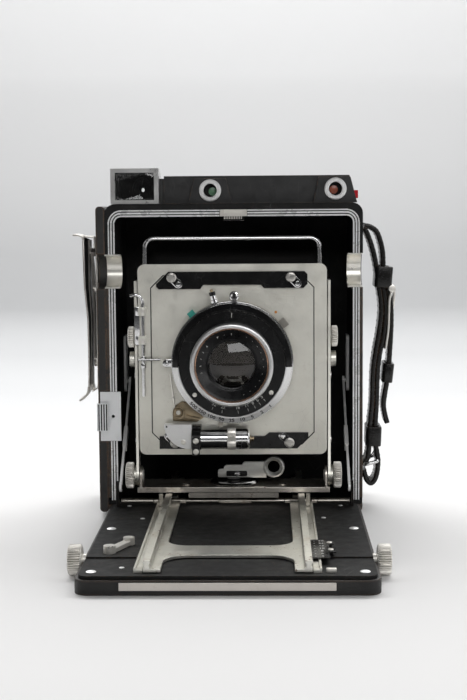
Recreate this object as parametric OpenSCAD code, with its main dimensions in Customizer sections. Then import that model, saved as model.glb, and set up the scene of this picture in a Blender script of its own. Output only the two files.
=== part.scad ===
// Folding press camera: box body, drop bed with focus track, front standard and leaf-shutter lens.
// Frame: origin at the mouth of the tripod socket under the box, +Z up, the lens looks along -Y, millimetres.

/* [Body] */
// Width of the box, without the side cover
body_w = 171; // [169:0.5:173]
// Height of the box
body_h = 210; // [208:0.5:214]
// Depth of the box, front edge to back edge
body_d = 86; // [84:0.5:90]
// Thickness of the release housing on the left side
cover_t = 6; // [4:0.5:7]

/* [Bed] */
// Length of the bed
bed_len = 199; // [197:0.5:199]
// Width of the bed
bed_w = 166.8; // [164:0.2:167]
// Thickness of the bed, and the height of its upper face
bed_t = 10.4; // [10.4:0.1:10.8]
// Distance from the hinge to the focus knobs
knob_out = 155; // [153:0.5:156]

/* [Front standard] */
// Width of the lens frame plate
plate_w = 124.8; // [124:0.2:125.2]
// Height of the optical axis
lens_z = 106.2; // [105.5:0.1:107]
// Radius of the shutter's speed ring
shutter_r = 39.3; // [38.9:0.1:39.6]
// Radius of the lens bezel
bezel_r = 27; // [26:0.2:28]

/* [Hidden] */
$fn = 48;

// Planes of the box
side = body_w / 2;
front = -body_d / 2;
back = body_d / 2;
in_side = side - 6;
in_top = body_h - 8.5;
floor_z = 8.5;
// Hair-line joints between the boards of the box
joint = 0.04;

// Chrome frame round the mouth of the box
trim_half = 83.5;
trim_w = 4.6;
trim_top = body_h - 4;
trim_foot = 11;

// Bed hinge, and the half-round notches that take the focus knobs when the bed is shut
hinge_y = front - 0.4;
hinge_z = bed_t;
notch_z = hinge_z + knob_out;
notch_y = hinge_y - 1.3;
notch_r = 11.4;
notch_run = 7;

// Bed rails and the sliding focus track on them
rail_in = 42;
rail_out = 46.2;
rail_top = bed_t + 7;
rail_start = 9;
track_end = 191;
guide_in = rail_out + 0.4;
guide_out = 51.3;
bar_near = 136;
bar_far = 159;
shaft_r = 1.3;
shaft_z = bed_t - 1.3;
teeth = 10;
pinion_r = 3;
knob_r = 8.8;

// Struts between the bed and the box
ear_out = 14;
ear_up = 12.6;
brace_x = 75.8;
pin_back = 63;
pin_up = 74;
fold = 90;
brace_len = norm([pin_back + ear_out, pin_up - ear_up]);
brace_a0 = atan2(pin_up - ear_up, pin_back + ear_out);
brace_turn = 20.6;

// Front standard
std_x = -1;
tilt_y = front - 2;
tilt_z = 28.6;
base_low = rail_top + 0.4;
arm_in = 63;
arm_out = 64.8;
plate_y = front - 7.5;
plate_t = 3;
plate_low = 43.5;
plate_top = 170.3;
board_half = 53.6;
board_low = 50.4;
board_top = 162.6;
wire_x = 57.7;
wire_y = front - 2.8;
wire_r = 1.5;
wire_top = 187.1;
rise_z = 122;
guide_z = 107;
rise_travel = 19;
slot_run = 5;

// ---- helpers ----
module slab(x, y, z) {
    translate([x[0], y[0], z[0]]) cube([x[1] - x[0], y[1] - y[0], z[1] - z[0]]);
}

module rod_x(r, x, y, z) {
    translate([x[0], y, z]) rotate([0, 90, 0]) cylinder(r = r, h = x[1] - x[0]);
}

module rod_y(r, x, y, z) {
    translate([x, y[0], z]) rotate([-90, 0, 0]) cylinder(r = r, h = y[1] - y[0]);
}

module tube_y(r_out, r_in, x, y, z) {
    difference() {
        rod_y(r_out, x, y, z);
        rod_y(r_in, x, [y[0] - 1, y[1] + 1], z);
    }
}

// An outline in the XZ plane, made solid from y[0] to y[1]
module upright(y) {
    translate([0, y[1], 0]) rotate([90, 0, 0]) linear_extrude(y[1] - y[0]) children();
}

// An outline in the YZ plane, made solid from x[0] to x[1]
module sideways(x) {
    translate([x[0], 0, 0]) rotate([90, 0, 90]) linear_extrude(x[1] - x[0]) children();
}

module rounded(x, y, r) {
    translate([x[0] + r, y[0]]) square([x[1] - x[0] - 2 * r, y[1] - y[0]]);
    translate([x[0], y[0] + r]) square([x[1] - x[0], y[1] - y[0] - 2 * r]);
    for (cx = [x[0] + r, x[1] - r], cy = [y[0] + r, y[1] - r])
        translate([cx, cy]) circle(r);
}

module capsule(p, q, r) {
    d = q - p;
    translate(p) circle(r);
    translate(q) circle(r);
    translate(p) rotate(atan2(d[1], d[0])) translate([0, -r]) square([norm(d), 2 * r]);
}

// Rectangle with its corners cut at 45 degrees
module cut_corners(x, y, c) {
    polygon([[x[0] + c, y[0]], [x[1] - c, y[0]], [x[1], y[0] + c], [x[1], y[1] - c],
        [x[1] - c, y[1]], [x[0] + c, y[1]], [x[0], y[1] - c], [x[0], y[0] + c]]);
}

// Round-headed arch, open at its foot
module arch(half, top, r, foot) {
    translate([-half, foot]) square([2 * half, top - r - foot]);
    translate([-half + r, foot]) square([2 * (half - r), top - foot]);
    for (s = [-1, 1]) translate([s * (half - r), top - r]) circle(r);
}

// A disc on the X axis with grooves along its rim
module knurled_x(r, x, y, z, ribs) {
    depth = 0.7;
    difference() {
        rod_x(r, x, y, z);
        for (i = [0:ribs - 1])
            translate([x[0] - 1, y, z]) rotate([i * 360 / ribs, 0, 0]) translate([0, r, 0])
                rotate([45, 0, 0]) translate([0, -depth / 2, -depth / 2])
                    cube([x[1] - x[0] + 2, depth, depth]);
    }
}

// Both sides of the object: the children drawn on the right, and mirrored on the left
module both() {
    children();
    mirror([1, 0, 0]) children();
}

// Where a point on the bed goes as it folds: out and up are measured from the hinge
function on_bed(out, up, a) =
    [hinge_y - out * cos(a) + up * sin(a), hinge_z + out * sin(a) + up * cos(a)];
// Centre of the strut's sliding pin with the bed folded by angle a
function pin_at(a) = let (t = brace_a0 + brace_turn * a / fold)
    on_bed(ear_out, ear_up, a) + brace_len * [cos(t), sin(t)];

module notch_cut(x, r) {
    hull() for (y = [notch_y, notch_y + notch_run]) rod_x(r, x, y, notch_z);
}

// ---- box ----
module body_shell() {
    deep = [front - 1, back - 5];
    color("#1d1c1b") difference() {
        upright([front, back]) rounded([-side, side], [0, body_h], 7);
        slab([-in_side, in_side], deep, [floor_z, in_top]);
        for (x = [-in_side - joint, in_side]) slab([x, x + joint], [front - 1, back + 1], [-1, body_h + 1]);
        for (z = [floor_z - joint, in_top]) slab([-side, side], [deep[1] - 1, back + 1], [z, z + joint]);
        upright([back - 6, back + 1]) rounded([-66, 66], [50, 162], 2);
        upright([front - 1, front + 1.5]) arch(trim_half, trim_top, 9, trim_foot);
        notch_cut([74, side + 1], notch_r);
        notch_cut([-side - 1, -74], notch_r);
        rod_x(2.7, [-side - 1, side + 1], hinge_y, hinge_z);
        slab([-90.4, -74], [front - 1, front + 1.4], [51.4, 85]);
        translate([0, 0, -1]) cylinder(r = 16.2, h = floor_z + 2);
    }
}

module side_cover() {
    color("#1d1c1b") difference() {
        upright([front, back - 4]) rounded([-side - cover_t, -side], [3, body_h - 1.5], 2.5);
        notch_cut([-side - cover_t - 1, -side + 1], notch_r);
        slab([-90.4, -side + 1], [front - 1, front + 1.4], [51.4, 85]);
        rod_y(1.8, -88.2, [front - 1, front + 9], 68.2);
    }
}

module front_trim() {
    color("#c9c9c6") difference() {
        union() {
            ring_profile(0, trim_w, [front + 0.6, front + 1.5]);
            for (i = [0:2]) ring_profile(i * 1.8, 1, [front + 0.1, front + 0.7]);
        }
        notch_cut([-90, 90], notch_r);
        slab([-90.4, -74], [front - 1, front + 2], [51.4, 85]);
        slab([-9.2, 9.2], [front - 1, front + 2], [trim_top - trim_w - 1, trim_top + 1]);
    }
}

// A strip of the frame, its outer edge inset by the given amount
module ring_profile(inset, w, y) {
    upright(y) difference() {
        arch(trim_half - inset, trim_top - inset, 9 - inset, trim_foot);
        arch(trim_half - inset - w, trim_top - inset - w, 9 - inset - w, trim_foot - 1);
    }
}

module notch_liners() {
    color("#c4c2ba") for (s = [-1, 1]) intersection() {
        difference() {
            notch_cut(s > 0 ? [75.5, side - 0.5] : [-side - 0.4, -75.5], notch_r - 0.1);
            notch_cut([-100, 100], notch_r - 1.1);
        }
        slab([-100, 100], [front, front + 20], [notch_z - 20, notch_z + 20]);
    }
}

module rangefinder_housing() {
    boss_l = [[-30, body_h], [-1, body_h], [-5, 226.4], [-26, 226.4]];
    boss_r = [[53, body_h], [82, body_h], [77.5, 227], [56.5, 227]];
    color("#232323") difference() {
        union() {
            upright([front + 8, front + 42])
                polygon([[-46.3, body_h], [82, body_h], [77, 228.2], [-46.3, 228.2]]);
            slab([-51.1, -46], [front + 9.3, front + 42], [body_h, 226.6]);
            upright([front + 4.5, front + 8]) polygon(boss_l);
            upright([front + 4.5, front + 8]) polygon(boss_r);
        }
        for (w = window_centres()) rod_y(4.6, w[0], [front, front + 14], w[1]);
        slab([75, 90], [front + 14.5, front + 24.5], [212.4, 218.6]);
    }
}

function window_centres() = [[-15.4, 218.6], [67.6, 219.2]];

module finder_glasses() {
    color("#6b8f7a", 0.6) {
        for (w = window_centres()) rod_y(4.4, w[0], [front + 7, front + 8.2], w[1]);
        intersection() {
            slab([-78.2, -52.6], [front + 3, front + 7], [212.6, 230.4]);
            translate([-65.4, front + 33.5, 221.5]) sphere(30, $fn = 96);
        }
    }
}

module viewfinder_body() {
    color("#b9bab8") difference() {
        union() {
            slab([-81.4, -49.4], [front + 2, front + 9], [body_h, 233.4]);
            slab([-79.4, -51.4], [front + 9, front + 48], [body_h, 231.6]);
            rod_y(9, -65.4, [front + 48, front + 55], 220.6);
        }
        slab([-78.3, -52.5], [front + 1, front + 8], [212.5, 230.5]);
        slab([-76, -54.8], [front + 7, front + 46], [214, 228.4]);
        rod_y(5, -65.4, [front + 40, front + 56], 220.6);
    }
}

module bed_catch() {
    color("#bdb9ad") {
        slab([-9, 9], [front + 0.1, front + 1.5], [trim_top - trim_w, trim_top]);
        slab([-7, 7], [front + 4, front + 9], [in_top - 3, in_top]);
    }
}

// Piano hinge: knuckle i of the row along X
hinge_n = 7;
knuckle = 22;
function knuckle_x(i) = [(i - hinge_n / 2) * knuckle + 0.15, (i + 1 - hinge_n / 2) * knuckle - 0.15];

module hinge_barrel() {
    color("#8d8a82") {
        for (i = [0:2:hinge_n - 1]) {
            rod_x(2.2, knuckle_x(i), hinge_y, hinge_z);
            slab(knuckle_x(i), [hinge_y, front + 6], [floor_z, floor_z + 1.4]);
        }
        rod_x(1.2, [knuckle_x(0)[0], knuckle_x(hinge_n - 1)[1]], hinge_y, hinge_z);
    }
}

// Plates on the side walls, each with the slot that the strut's pin runs in
module brace_tracks() {
    steps = 18;
    r = 1.5 + 0.35;
    path = [for (i = [0:steps]) pin_at(fold * i / steps)];
    p0 = path[0];
    p1 = path[steps];
    color("#a9a79f") both() difference() {
        sideways([77.7, in_side]) rounded([p0[0] - 7, p0[0] + 9], [p0[1] - 7, p1[1] + 8], 3);
        sideways([77, in_side + 1]) for (i = [1:steps]) capsule(path[i - 1], path[i], r);
    }
}

// Rails inside the box, in line with the track on the bed
module inner_rails() {
    color("#9b978d") both() {
        slab([rail_in - 3.4, rail_out], [front + 6.5, front + 74], [floor_z, 12.6]);
        slab([rail_in + 0.8, rail_out - 0.8], [front + 6.5, front + 74], [12.6, 15.6]);
        slab([rail_in - 0.6, rail_out], [front + 6.5, front + 74], [15.6, rail_top]);
    }
}

module release_plate() {
    color("#b5b6b6") difference() {
        slab([-90.2, -76.4], [front, front + 1.2], [51.6, 84.8]);
        rod_y(1.8, -88.2, [front - 1, front + 2], 68.2);
        rod_y(1.1, -81.6, [front - 1, front + 2], 68.2);
    }
}

module release_pad() {
    color("#a5a6a6") difference() {
        union() {
            slab([-92, -84.6], [front - 5.2, front - 2.8], [59, 77.4]);
            rod_y(1.75, -88.2, [front - 3, front + 4], 68.2);
        }
        for (i = [0:3]) slab([-91 + 1.7 * i, -90.2 + 1.7 * i], [front - 6, front - 4.7], [58, 78]);
    }
}

// Bracket for a flash gun: two bars on the side cover, the outer one with a hook at each end
module flash_bracket() {
    y = [front + 15, front + 29];
    wall = -side - cover_t;
    color("#77746c") {
        upright(y) ribbon([[-108.8, 189], [-105.6, 187], [-102.2, 184], [-99.2, 88], [-102, 82.4], [-105.4, 78]], 1.6);
        slab([-102, -93.6], y, [180, 181.6]);
        slab([-99.6, -93.6], y, [92, 93.6]);
        slab([-94.6, -93], y, [84, 187]);
        for (z = [102.5, 153]) rod_x(3.2, [-93.1, wall], (y[0] + y[1]) / 2, z);
        for (z = [102.5, 153]) rod_x(2.4, [-96.2, -94.5], (y[0] + y[1]) / 2, z);
    }
}

// Carrying strap on the right side: the centre line of the doubled leather, bottom to top
strap_t = 2.6;
strap_w = 20;
strap_inner = [[89.2, 24], [89.8, 16], [94, 13], [98, 17], [98.6, 40], [98.4, 75], [98, 110], [97.6, 140],
    [96.6, 160], [94.6, 176], [92.4, 188], [90.4, 194], [88.6, 190]];
strap_outer = [[102.4, 58], [103, 70], [103.4, 95], [103.8, 130], [102.6, 155], [99.6, 172], [97.2, 184],
    [95, 192]];

// The outline of a strap of even thickness along a path
function unit(v) = v / norm(v);
function side_of(path, i) = let (a = path[max(i - 1, 0)], b = path[min(i + 1, len(path) - 1)],
    d = unit(b - a)) [-d[1], d[0]];
module ribbon(path, t) {
    n = len(path) - 1;
    polygon(concat([for (i = [0:n]) path[i] + side_of(path, i) * t / 2],
        [for (i = [n:-1:0]) path[i] - side_of(path, i) * t / 2]));
}

module handle_strap() {
    color("#17161a") {
        upright([-strap_w / 2, strap_w / 2]) ribbon(strap_inner, strap_t);
        upright([-strap_w / 2 + 1, strap_w / 2 - 1]) ribbon(strap_outer, strap_t);
    }
}

// Lugs on the side wall that hold the strap, and the nickel buckle on it
module strap_hardware() {
    color("#c3c0b6") {
        for (z = [28, 184]) slab([side, side + 1.6], [-11, 11], [z - 6, z + 6]);
        slab([105.4, 107.4], [-11, 11], [112, 150]);
        rod_x(3, [105.2, 109.4], 0, 150);
    }
}

module back_frame() {
    color("#2a2a2a") difference() {
        upright([back, back + 7]) rounded([-79, 79], [22, 192], 5);
        upright([back - 1, back + 8]) rounded([-66, 66], [50, 162], 2);
    }
}

module focus_panel() {
    color("#262626") difference() {
        upright([back + 7.4, back + 14]) rounded([-71, 71], [46, 166], 4);
        upright([back + 7, back + 15]) rounded([-61, 61], [56, 156], 2);
        upright([back + 7.3, back + 10]) rounded([-64.2, 64.2], [52.8, 159.2], 1);
    }
}

module ground_glass() {
    color("#dfe6e6", 0.5) slab([-64, 64], [back + 7.6, back + 9.8], [53, 159]);
}

// Folded focusing hood: a lid hinged along its top edge
hood_y = back + 16.5;
hood_z = 159.5;
module focusing_hood() {
    color("#202020") {
        rod_x(1.6, [-60, 60], hood_y, hood_z);
        upright([back + 14.9, back + 18.1]) rounded([-62, 62], [55, hood_z - 1.2], 3);
    }
}

module back_locks() {
    color("#8f8f8c") for (z = [[28, 41], [171, 184]]) difference() {
        upright([back + 7.4, back + 9.6]) rounded([-64, 64], z, 3);
        for (x = [-40, 40]) rod_y(3.4, x, [back + 7, back + 10], (z[0] + z[1]) / 2);
    }
}

// Rear sight on a hinge, folded down on the roof
peep_y = back - 8;
peep_z = body_h + 3;
module peep_sight() {
    color("#3a3a3a") difference() {
        union() {
            rod_x(2.2, [-9, 9], peep_y, peep_z);
            slab([-9, 9], [peep_y - 22, peep_y], [peep_z - 1, peep_z + 1]);
        }
        translate([0, peep_y - 15, peep_z - 2]) cylinder(r = 2.4, h = 4);
    }
}

module tripod_plate() {
    color("#9a9890") difference() {
        cylinder(r = 16, h = floor_z - 0.1);
        translate([0, 0, -1]) cylinder(r = 2.6, h = 20);
    }
}

// Bellows: pleated leather walls from the lens frame to the back of the box
module bellows() {
    n = 9;
    y0 = front - 0.4;
    y1 = back - 5.2;
    step = (y1 - y0) / n;
    color("#111111") for (i = [0:n - 1]) let (t = i / (n - 1)) difference() {
        grow = 3 + 15 * t;
        upright([y0 + i * step, y0 + (i + 1) * step])
            cut_corners([std_x - 47 - grow, std_x + 47 + grow], [53 - grow, 160 + grow], 6);
        upright([y0 + i * step - 1, y0 + (i + 1) * step + 1])
            cut_corners([std_x - 43 - grow, std_x + 43 + grow], [57 - grow, 156 + grow], 5);
    }
}

module red_button() {
    color("#c8202a") slab([78.6, 83.2], [front + 15, front + 24], [212.8, 218.2]);
}

// ---- bed ----
// A flat outline on the bed, measured out from the front of the box, made solid from z[0] to z[1]
module on_floor(z) {
    translate([0, 0, z[0]]) linear_extrude(z[1] - z[0]) mirror([0, 1]) translate([0, -front]) children();
}

plate_z = bed_t - 2;
module bed_panel() {
    half = bed_w / 2;
    color("#1b1a19") difference() {
        on_floor([0, plate_z]) {
            rounded([-half, half], [20, bed_len], 8);
            translate([-half, 2.8]) square([2 * half, 40]);
        }
        shaft_room();
    }
}

// The tunnel for the pinion shaft, and the pockets for its two pinions
module shaft_room() {
    y = front - knob_out;
    slab([-100, 100], [y - 1.7, y + 1.7], [shaft_z - 1.7, shaft_z + 1.6]);
    both() slab([rail_in - 0.4, rail_out + 0.2], [y - 4.2, y + 4.2], [shaft_z - 4, bed_t + 1]);
}

shaft_cover_y = [front - knob_out - 3, front - knob_out + 3];
module bed_plate() {
    ear_y = hinge_y - ear_out;
    ear_z = hinge_z + ear_up;
    color("#202122") {
        difference() {
            union() {
                on_floor([plate_z, bed_t]) rounded([-81.4, 81.4], [6.4, bed_len - 2.2], 6);
                both() slab([guide_out + 1, 81.4], shaft_cover_y, [plate_z, bed_t + 0.9]);
            }
            shaft_room();
        }
        both() {
            sideways([brace_x + 1.1, brace_x + 2.6]) {
                translate([ear_y, ear_z]) circle(4);
                translate([ear_y - 4, bed_t - 1]) square([8, ear_z - bed_t + 1]);
            }
            rod_x(1.6, [brace_x - 1, brace_x + 1.2], ear_y, ear_z);
        }
    }
}

module bed_edge_strip() {
    color("#cdc2b8") slab([-58.6, 58.6], [front - bed_len - 0.9, front - bed_len], [2.9, 7.3]);
}

module bed_hinge() {
    color("#8d8a82") for (i = [1:2:hinge_n - 1]) {
        difference() {
            union() {
                rod_x(2.2, knuckle_x(i), hinge_y, hinge_z);
                slab(knuckle_x(i), [front - 6.2, hinge_y], [plate_z, bed_t - 0.2]);
            }
            rod_x(1.25, [knuckle_x(i)[0] - 1, knuckle_x(i)[1] + 1], hinge_y, hinge_z);
        }
    }
}

module guide_rails() {
    y = [front - track_end, front - rail_start];
    color("#b4afa4") both() difference() {
        union() {
            slab([guide_in, guide_out], y, [bed_t, bed_t + 1.8]);
            slab([guide_out - 1.4, guide_out], y, [bed_t, bed_t + 2.8]);
        }
        shaft_room();
    }
}

module focus_track() {
    y = [front - track_end, front - rail_start];
    foot = bed_t + 0.4;
    web = bed_t + 2.2;
    inner = rail_in - 5.5;
    rack_root = shaft_z + pinion_r + 0.9;
    color("#b8b3a6") {
        difference() {
            on_floor([foot, web]) difference() {
                translate([-rail_out, rail_start]) square([2 * rail_out, track_end - rail_start]);
                rounded([-inner, inner], [rail_start - 30, bar_near], 12);
                rounded([-inner, inner], [bar_far, track_end + 30], 14);
            }
            both() slab([rail_in + 0.6, rail_out - 0.6], [front - 162, front - 104], [bed_t, rack_root]);
        }
        both() {
            difference() {
                slab([rail_in, rail_out], y, [web, rail_top]);
                slab([rail_in + 0.6, rail_out - 0.6], [front - 162, front - 104], [bed_t, rack_root]);
                slab([rail_out - 0.7, rail_out + 1], [y[0] - 1, y[1] + 1], [web + 1, rail_top - 1.8]);
                slab([rail_in - 1, rail_in + 0.7], [y[0] - 1, y[1] + 1], [web + 1, rail_top - 1.8]);
            }
            rack(rack_root);
        }
    }
}

// Rack teeth under the rail, meshing with the pinion
module rack(root) {
    pitch = 2 * PI * pinion_r / teeth;
    tip = shaft_z + pinion_r - 0.5;
    count = 30;
    sideways([rail_in + 0.5, rail_out - 0.5]) for (i = [0:count - 1])
        translate([front - knob_out - 3 * pitch + i * pitch, 0])
            polygon([[-0.45, root + 0.1], [0.45, root + 0.1], [0.3, tip], [-0.3, tip]]);
}

module pinion_shaft() {
    y = front - knob_out;
    color("#56544f") {
        rod_x(shaft_r, [-81, 81], y, shaft_z);
        both() translate([rail_in + 1, y, shaft_z]) rotate([90, 0, 90]) linear_extrude(2.2) {
            circle(pinion_r - 0.75);
            for (i = [0:teeth - 1]) rotate(90 + (i + 0.5) * 360 / teeth)
                polygon([[pinion_r - 1, -0.45], [pinion_r + 0.45, -0.28], [pinion_r + 0.45, 0.28],
                    [pinion_r - 1, 0.45]]);
        }
    }
}

module focus_knobs() {
    y = front - knob_out;
    color("#d9d5c6") both() {
        difference() {
            knurled_x(knob_r, [bed_w / 2 + 0.4, 91.6], y, shaft_z, 36);
            rod_x(4.6, [90.2, 93], y, shaft_z);
        }
        difference() {
            rod_x(3.4, [81, bed_w / 2 + 0.5], y, shaft_z);
            slab([80, bed_w / 2 + 0.3], [y - 5, y + 5], [shaft_z + 1.1, shaft_z + 6]);
            slab([80, bed_w / 2 + 0.3], [y - 5, y + 5], [shaft_z - 6, shaft_z - 1.1]);
            slab([80, bed_w / 2 + 0.3], [y + 1.1, y + 6], [shaft_z - 6, shaft_z + 6]);
            slab([80, bed_w / 2 + 0.3], [y - 6, y - 1.1], [shaft_z - 6, shaft_z + 6]);
        }
    }
}

lock_pivot = [-60, front - 124];
lock_tip = [-69, front - 146];
module track_lock_lever() {
    color("#cfcfcb") {
        translate([0, 0, bed_t + 0.3]) linear_extrude(2.4) capsule(lock_pivot, lock_tip, 2.6);
        translate([lock_pivot[0], lock_pivot[1], bed_t]) cylinder(r = 3.4, h = 4.4);
        translate([lock_tip[0], lock_tip[1], bed_t + 0.3]) cylinder(r = 3.6, h = 4.4);
    }
}

stop_y = front - 25;
stop_z = bed_t + 3.4;
module infinity_stops() {
    color("#6e6b64") both() {
        rod_x(1.1, [guide_in + 0.3, guide_out - 1.8], stop_y, stop_z);
        slab([guide_in + 0.3, guide_out - 1.8], [stop_y - 1.1, stop_y + 1.1], [stop_z - 1, stop_z + 6.8]);
    }
}

// One folding strut, on the right side
module brace() {
    p = on_bed(ear_out, ear_up, 0);
    q = pin_at(0);
    mid = p + 0.44 * (q - p);
    color("#d4d4d2") {
        difference() {
            sideways([brace_x - 0.8, brace_x + 0.8]) {
                capsule(p, q, 2);
                translate(p) circle(3.4);
                translate(q) circle(3.2);
            }
            rod_x(1.65, [70, 80], p[0], p[1]);
            sideways([70, 80]) translate(mid) rotate(brace_a0) square([18, 3], center = true);
        }
        sideways([brace_x - 1.6, brace_x + 1.1]) translate(mid) rotate(brace_a0)
            square([18, 6.4], center = true);
        rod_x(1.5, [brace_x + 0.7, in_side - 0.5], q[0], q[1]);
    }
}

module brace_right() { brace(); }
module brace_left() { mirror([1, 0, 0]) brace(); }

// ---- front standard ----
module at_standard() { translate([std_x, 0, 0]) children(); }

module standard_base() {
    y = [front - 8.5, front + 30];
    color("#b9b5a8") at_standard() difference() {
        union() {
            slab([-64.2, 64.2], y, [base_low, base_low + 2.2]);
            slab([-64.2, 64.2], [y[0], y[0] + 1.6], [base_low, base_low + 3.6]);
            slab([-30, 30], [y[0] + 1, front + 20], [base_low - 3.9, base_low]);
            both() sideways([61, 62.6]) {
                translate([tilt_y, tilt_z]) circle(6.5);
                translate([tilt_y - 6.5, base_low + 1]) square([13, tilt_z - base_low - 1]);
            }
        }
        rod_x(2.58, [-70, 70], tilt_y, tilt_z);
    }
}

// Clamp that locks the standard to the track: a disc with a ringed lever standing on it
clamp_y = front + 11.4;
clamp_z = base_low + 2.6;
ring_at = [27, 31.6];
module clamp_lever() {
    color("#b7b8b4") at_standard() {
        translate([0, clamp_y, clamp_z]) cylinder(r = 16.4, h = 1.8, $fn = 72);
        translate([0, clamp_y, clamp_z]) cylinder(r = 5, h = 4.4);
        upright([clamp_y - 1.4, clamp_y + 1.4]) difference() {
            union() {
                translate(ring_at) circle(7.3);
                translate([3, 27]) square([20, 9]);
                translate([-6, 24]) square([14, 10]);
                translate([-14, clamp_z + 1]) square([12, 8]);
            }
            translate(ring_at) circle(4.3);
        }
    }
}

module standard_arms() {
    color("#b8b8b2") at_standard() both() difference() {
        union() {
            sideways([arm_in, arm_out]) {
                translate([tilt_y, tilt_z]) circle(7);
                translate([front - 8, tilt_z]) square([12, 159.4 - tilt_z]);
            }
            rod_x(6.6, [arm_out - 0.1, arm_out + 1.6], tilt_y, tilt_z);
        }
        rod_x(2.58, [60, 70], tilt_y, tilt_z);
        sideways([60, 70]) capsule([tilt_y, guide_z - 0.5], [tilt_y, rise_z + rise_travel + 0.5], 2.6);
    }
}

module tilt_knobs() {
    color("#d9d5c6") at_standard() {
        both() knurled_x(8.8, [arm_out + 1.9, 72.2], tilt_y, tilt_z, 36);
        both() rod_x(2.5, [60.4, arm_out + 2], tilt_y, tilt_z);
    }
}

module rise_knobs() {
    color("#d9d5c6") at_standard() both() {
        knurled_x(7, [arm_out + 0.5, 69.6], tilt_y, rise_z, 30);
        rod_x(2.2, [62.6, arm_out + 0.6], tilt_y, rise_z);
    }
}

module lens_frame_plate() {
    half = plate_w / 2;
    y = [plate_y, plate_y + plate_t];
    color("#bcbcb2") at_standard() difference() {
        union() {
            upright(y) difference() {
                rounded([-half, half], [plate_low, plate_top], 4.6);
                cut_corners([-board_half - 0.4, board_half + 0.4], [board_low - 0.4, board_top + 0.4], 8);
            }
            upright([y[1], y[1] + 3.6]) difference() {
                panel(54.8, [47, 166]);
                panel(47, [56, 157]);
            }
            both() {
                slab([61, half], [y[1], front + 3], [60, 150]);
                for (z = [62, 146]) slab([54.8, 61], [y[1], front - 0.6], [z, z + 10]);
                rod_x(2.2, [half - 0.1, arm_out + 0.6], tilt_y, guide_z);
                rod_x(5.2, [arm_out + 0.5, 68.4], tilt_y, guide_z);
            }
            for (z = [117.6, 136.6]) slab([-62, -56.6], [y[0] - 3.8, y[0]], [z, z + 5.6]);
        }
        both() translate([wire_x, wire_y, plate_low + 2]) cylinder(r = wire_r + 0.08, h = 122);
        translate([rod_at[0], rod_at[1], 60]) cylinder(r = 1.18, h = 100);
    }
}

// A plain rectangle about the middle, from z[0] to z[1]
module panel(half, z) {
    translate([-half, z[0]]) square([2 * half, z[1] - z[0]]);
}

module lens_board() {
    color("#bdbdb4") at_standard() difference() {
        upright([plate_y, plate_y + plate_t])
            cut_corners([-board_half, board_half], [board_low, board_top], 8);
        rod_y(20.4, 0, [plate_y - 1, plate_y + plate_t + 1], lens_z);
    }
}

// Sliding locks over the board's top and bottom edges, each with two slanted slots
slider_y = [plate_y - 1.8, plate_y - 0.2];
top_screws = [[-39.8, 161.6], [38.6, 161.6]];
low_screws = [[37.4, 51.6], [-38.6, 51.6]];
run = slot_run / sqrt(2);
screw_r = 1.9;

module slider_slots(screws, dir) {
    for (p = screws) capsule(p, p + dir * run, screw_r + 0.2);
}

module top_slider() {
    color("#161616") at_standard() upright(slider_y) difference() {
        polygon([[-48.4, 154], [-21, 154], [-19, 156.6], [19, 156.6], [21, 154.4], [47, 154.4], [49.6, 157],
            [49.6, 163.4], [47.6, 165.4], [-42, 165.4], [-50, 157.4], [-50, 155.6]]);
        slider_slots(top_screws, [1, -1]);
    }
}

module bottom_slider() {
    color("#161616") at_standard() upright(slider_y) difference() {
        polygon([[-49, 47.6], [42.6, 47.6], [50, 55], [50, 58.4], [24, 58.4], [21, 56], [-49, 56]]);
        slider_slots(low_screws, [-1, 1]);
    }
}

module slider_screws() {
    color("#c9c9c6") at_standard() for (p = concat(top_screws, low_screws)) {
        rod_y(screw_r, p[0], [slider_y[0] - 0.2, plate_y], p[1]);
        rod_y(3.1, p[0], [slider_y[0] - 1.4, slider_y[0] - 0.2], p[1]);
    }
}

// Wire frame finder: a rod bent over at its two top corners
module wire_finder() {
    bend = 6;
    color("#c2c0b8") at_standard() {
        both() {
            translate([wire_x, wire_y, 58]) cylinder(r = wire_r, h = wire_top - bend - 58);
            translate([wire_x - bend, wire_y, wire_top - bend]) rotate([90, 0, 0])
                rotate_extrude(angle = 90) translate([bend, 0]) circle(wire_r, $fn = 24);
        }
        rod_x(wire_r, [-wire_x + bend, wire_x - bend], wire_y, wire_top);
    }
}

// Release linkage down the left edge of the plate, with an arm to the shutter
rod_at = [-59, plate_y - 2];
module release_rod() {
    color("#c4c4c0") at_standard() {
        translate([rod_at[0], rod_at[1], 82]) cylinder(r = 1.1, h = 68.6);
        rod_x(1.1, [-68.4, rod_at[0]], rod_at[1], 149.5);
        rod_x(1.1, [-62.4, -47.2], rod_at[1] - 1.2, 107.6);
    }
}

// Solenoid that trips the shutter, strapped to the lens board
sol = [0, plate_y - 9.6, 55.6];
module solenoid() {
    color("#c8c8c8") at_standard() {
        rod_x(6.9, [-21, 11.4], sol[1], sol[2]);
        rod_x(7.2, [-3.4, 2], sol[1], sol[2]);
        rod_x(2, [11.3, 14.6], sol[1], sol[2]);
        difference() {
            union() {
                rod_x(8.4, [-27, -20.9], sol[1], sol[2]);
                slab([-27, -20.9], [plate_y - 9, plate_y], [58.8, 64]);
            }
            slab([-28, -20], [slider_y[0] - 0.4, plate_y + 1], [40, 58.8]);
        }
        upright([sol[1] - 2, sol[1] + 5]) intersection() {
            translate([-45, 49.3]) square([18.1, 16.4]);
            translate([-28.6, 65.7]) circle(16.4);
        }
        upright([plate_y - 1.2, plate_y]) difference() {
            translate([-38, 64]) square([18, 14.6]);
            translate([0, lens_z]) circle(41);
        }
    }
}

// ---- shutter and lens ----
// A ring on the lens axis: out[0] to out[1] are measured forward from the front of the box
module ring(r_out, r_in, out) {
    at_standard() tube_y(r_out, r_in, 0, [front - out[1], front - out[0]], lens_z);
}

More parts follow.
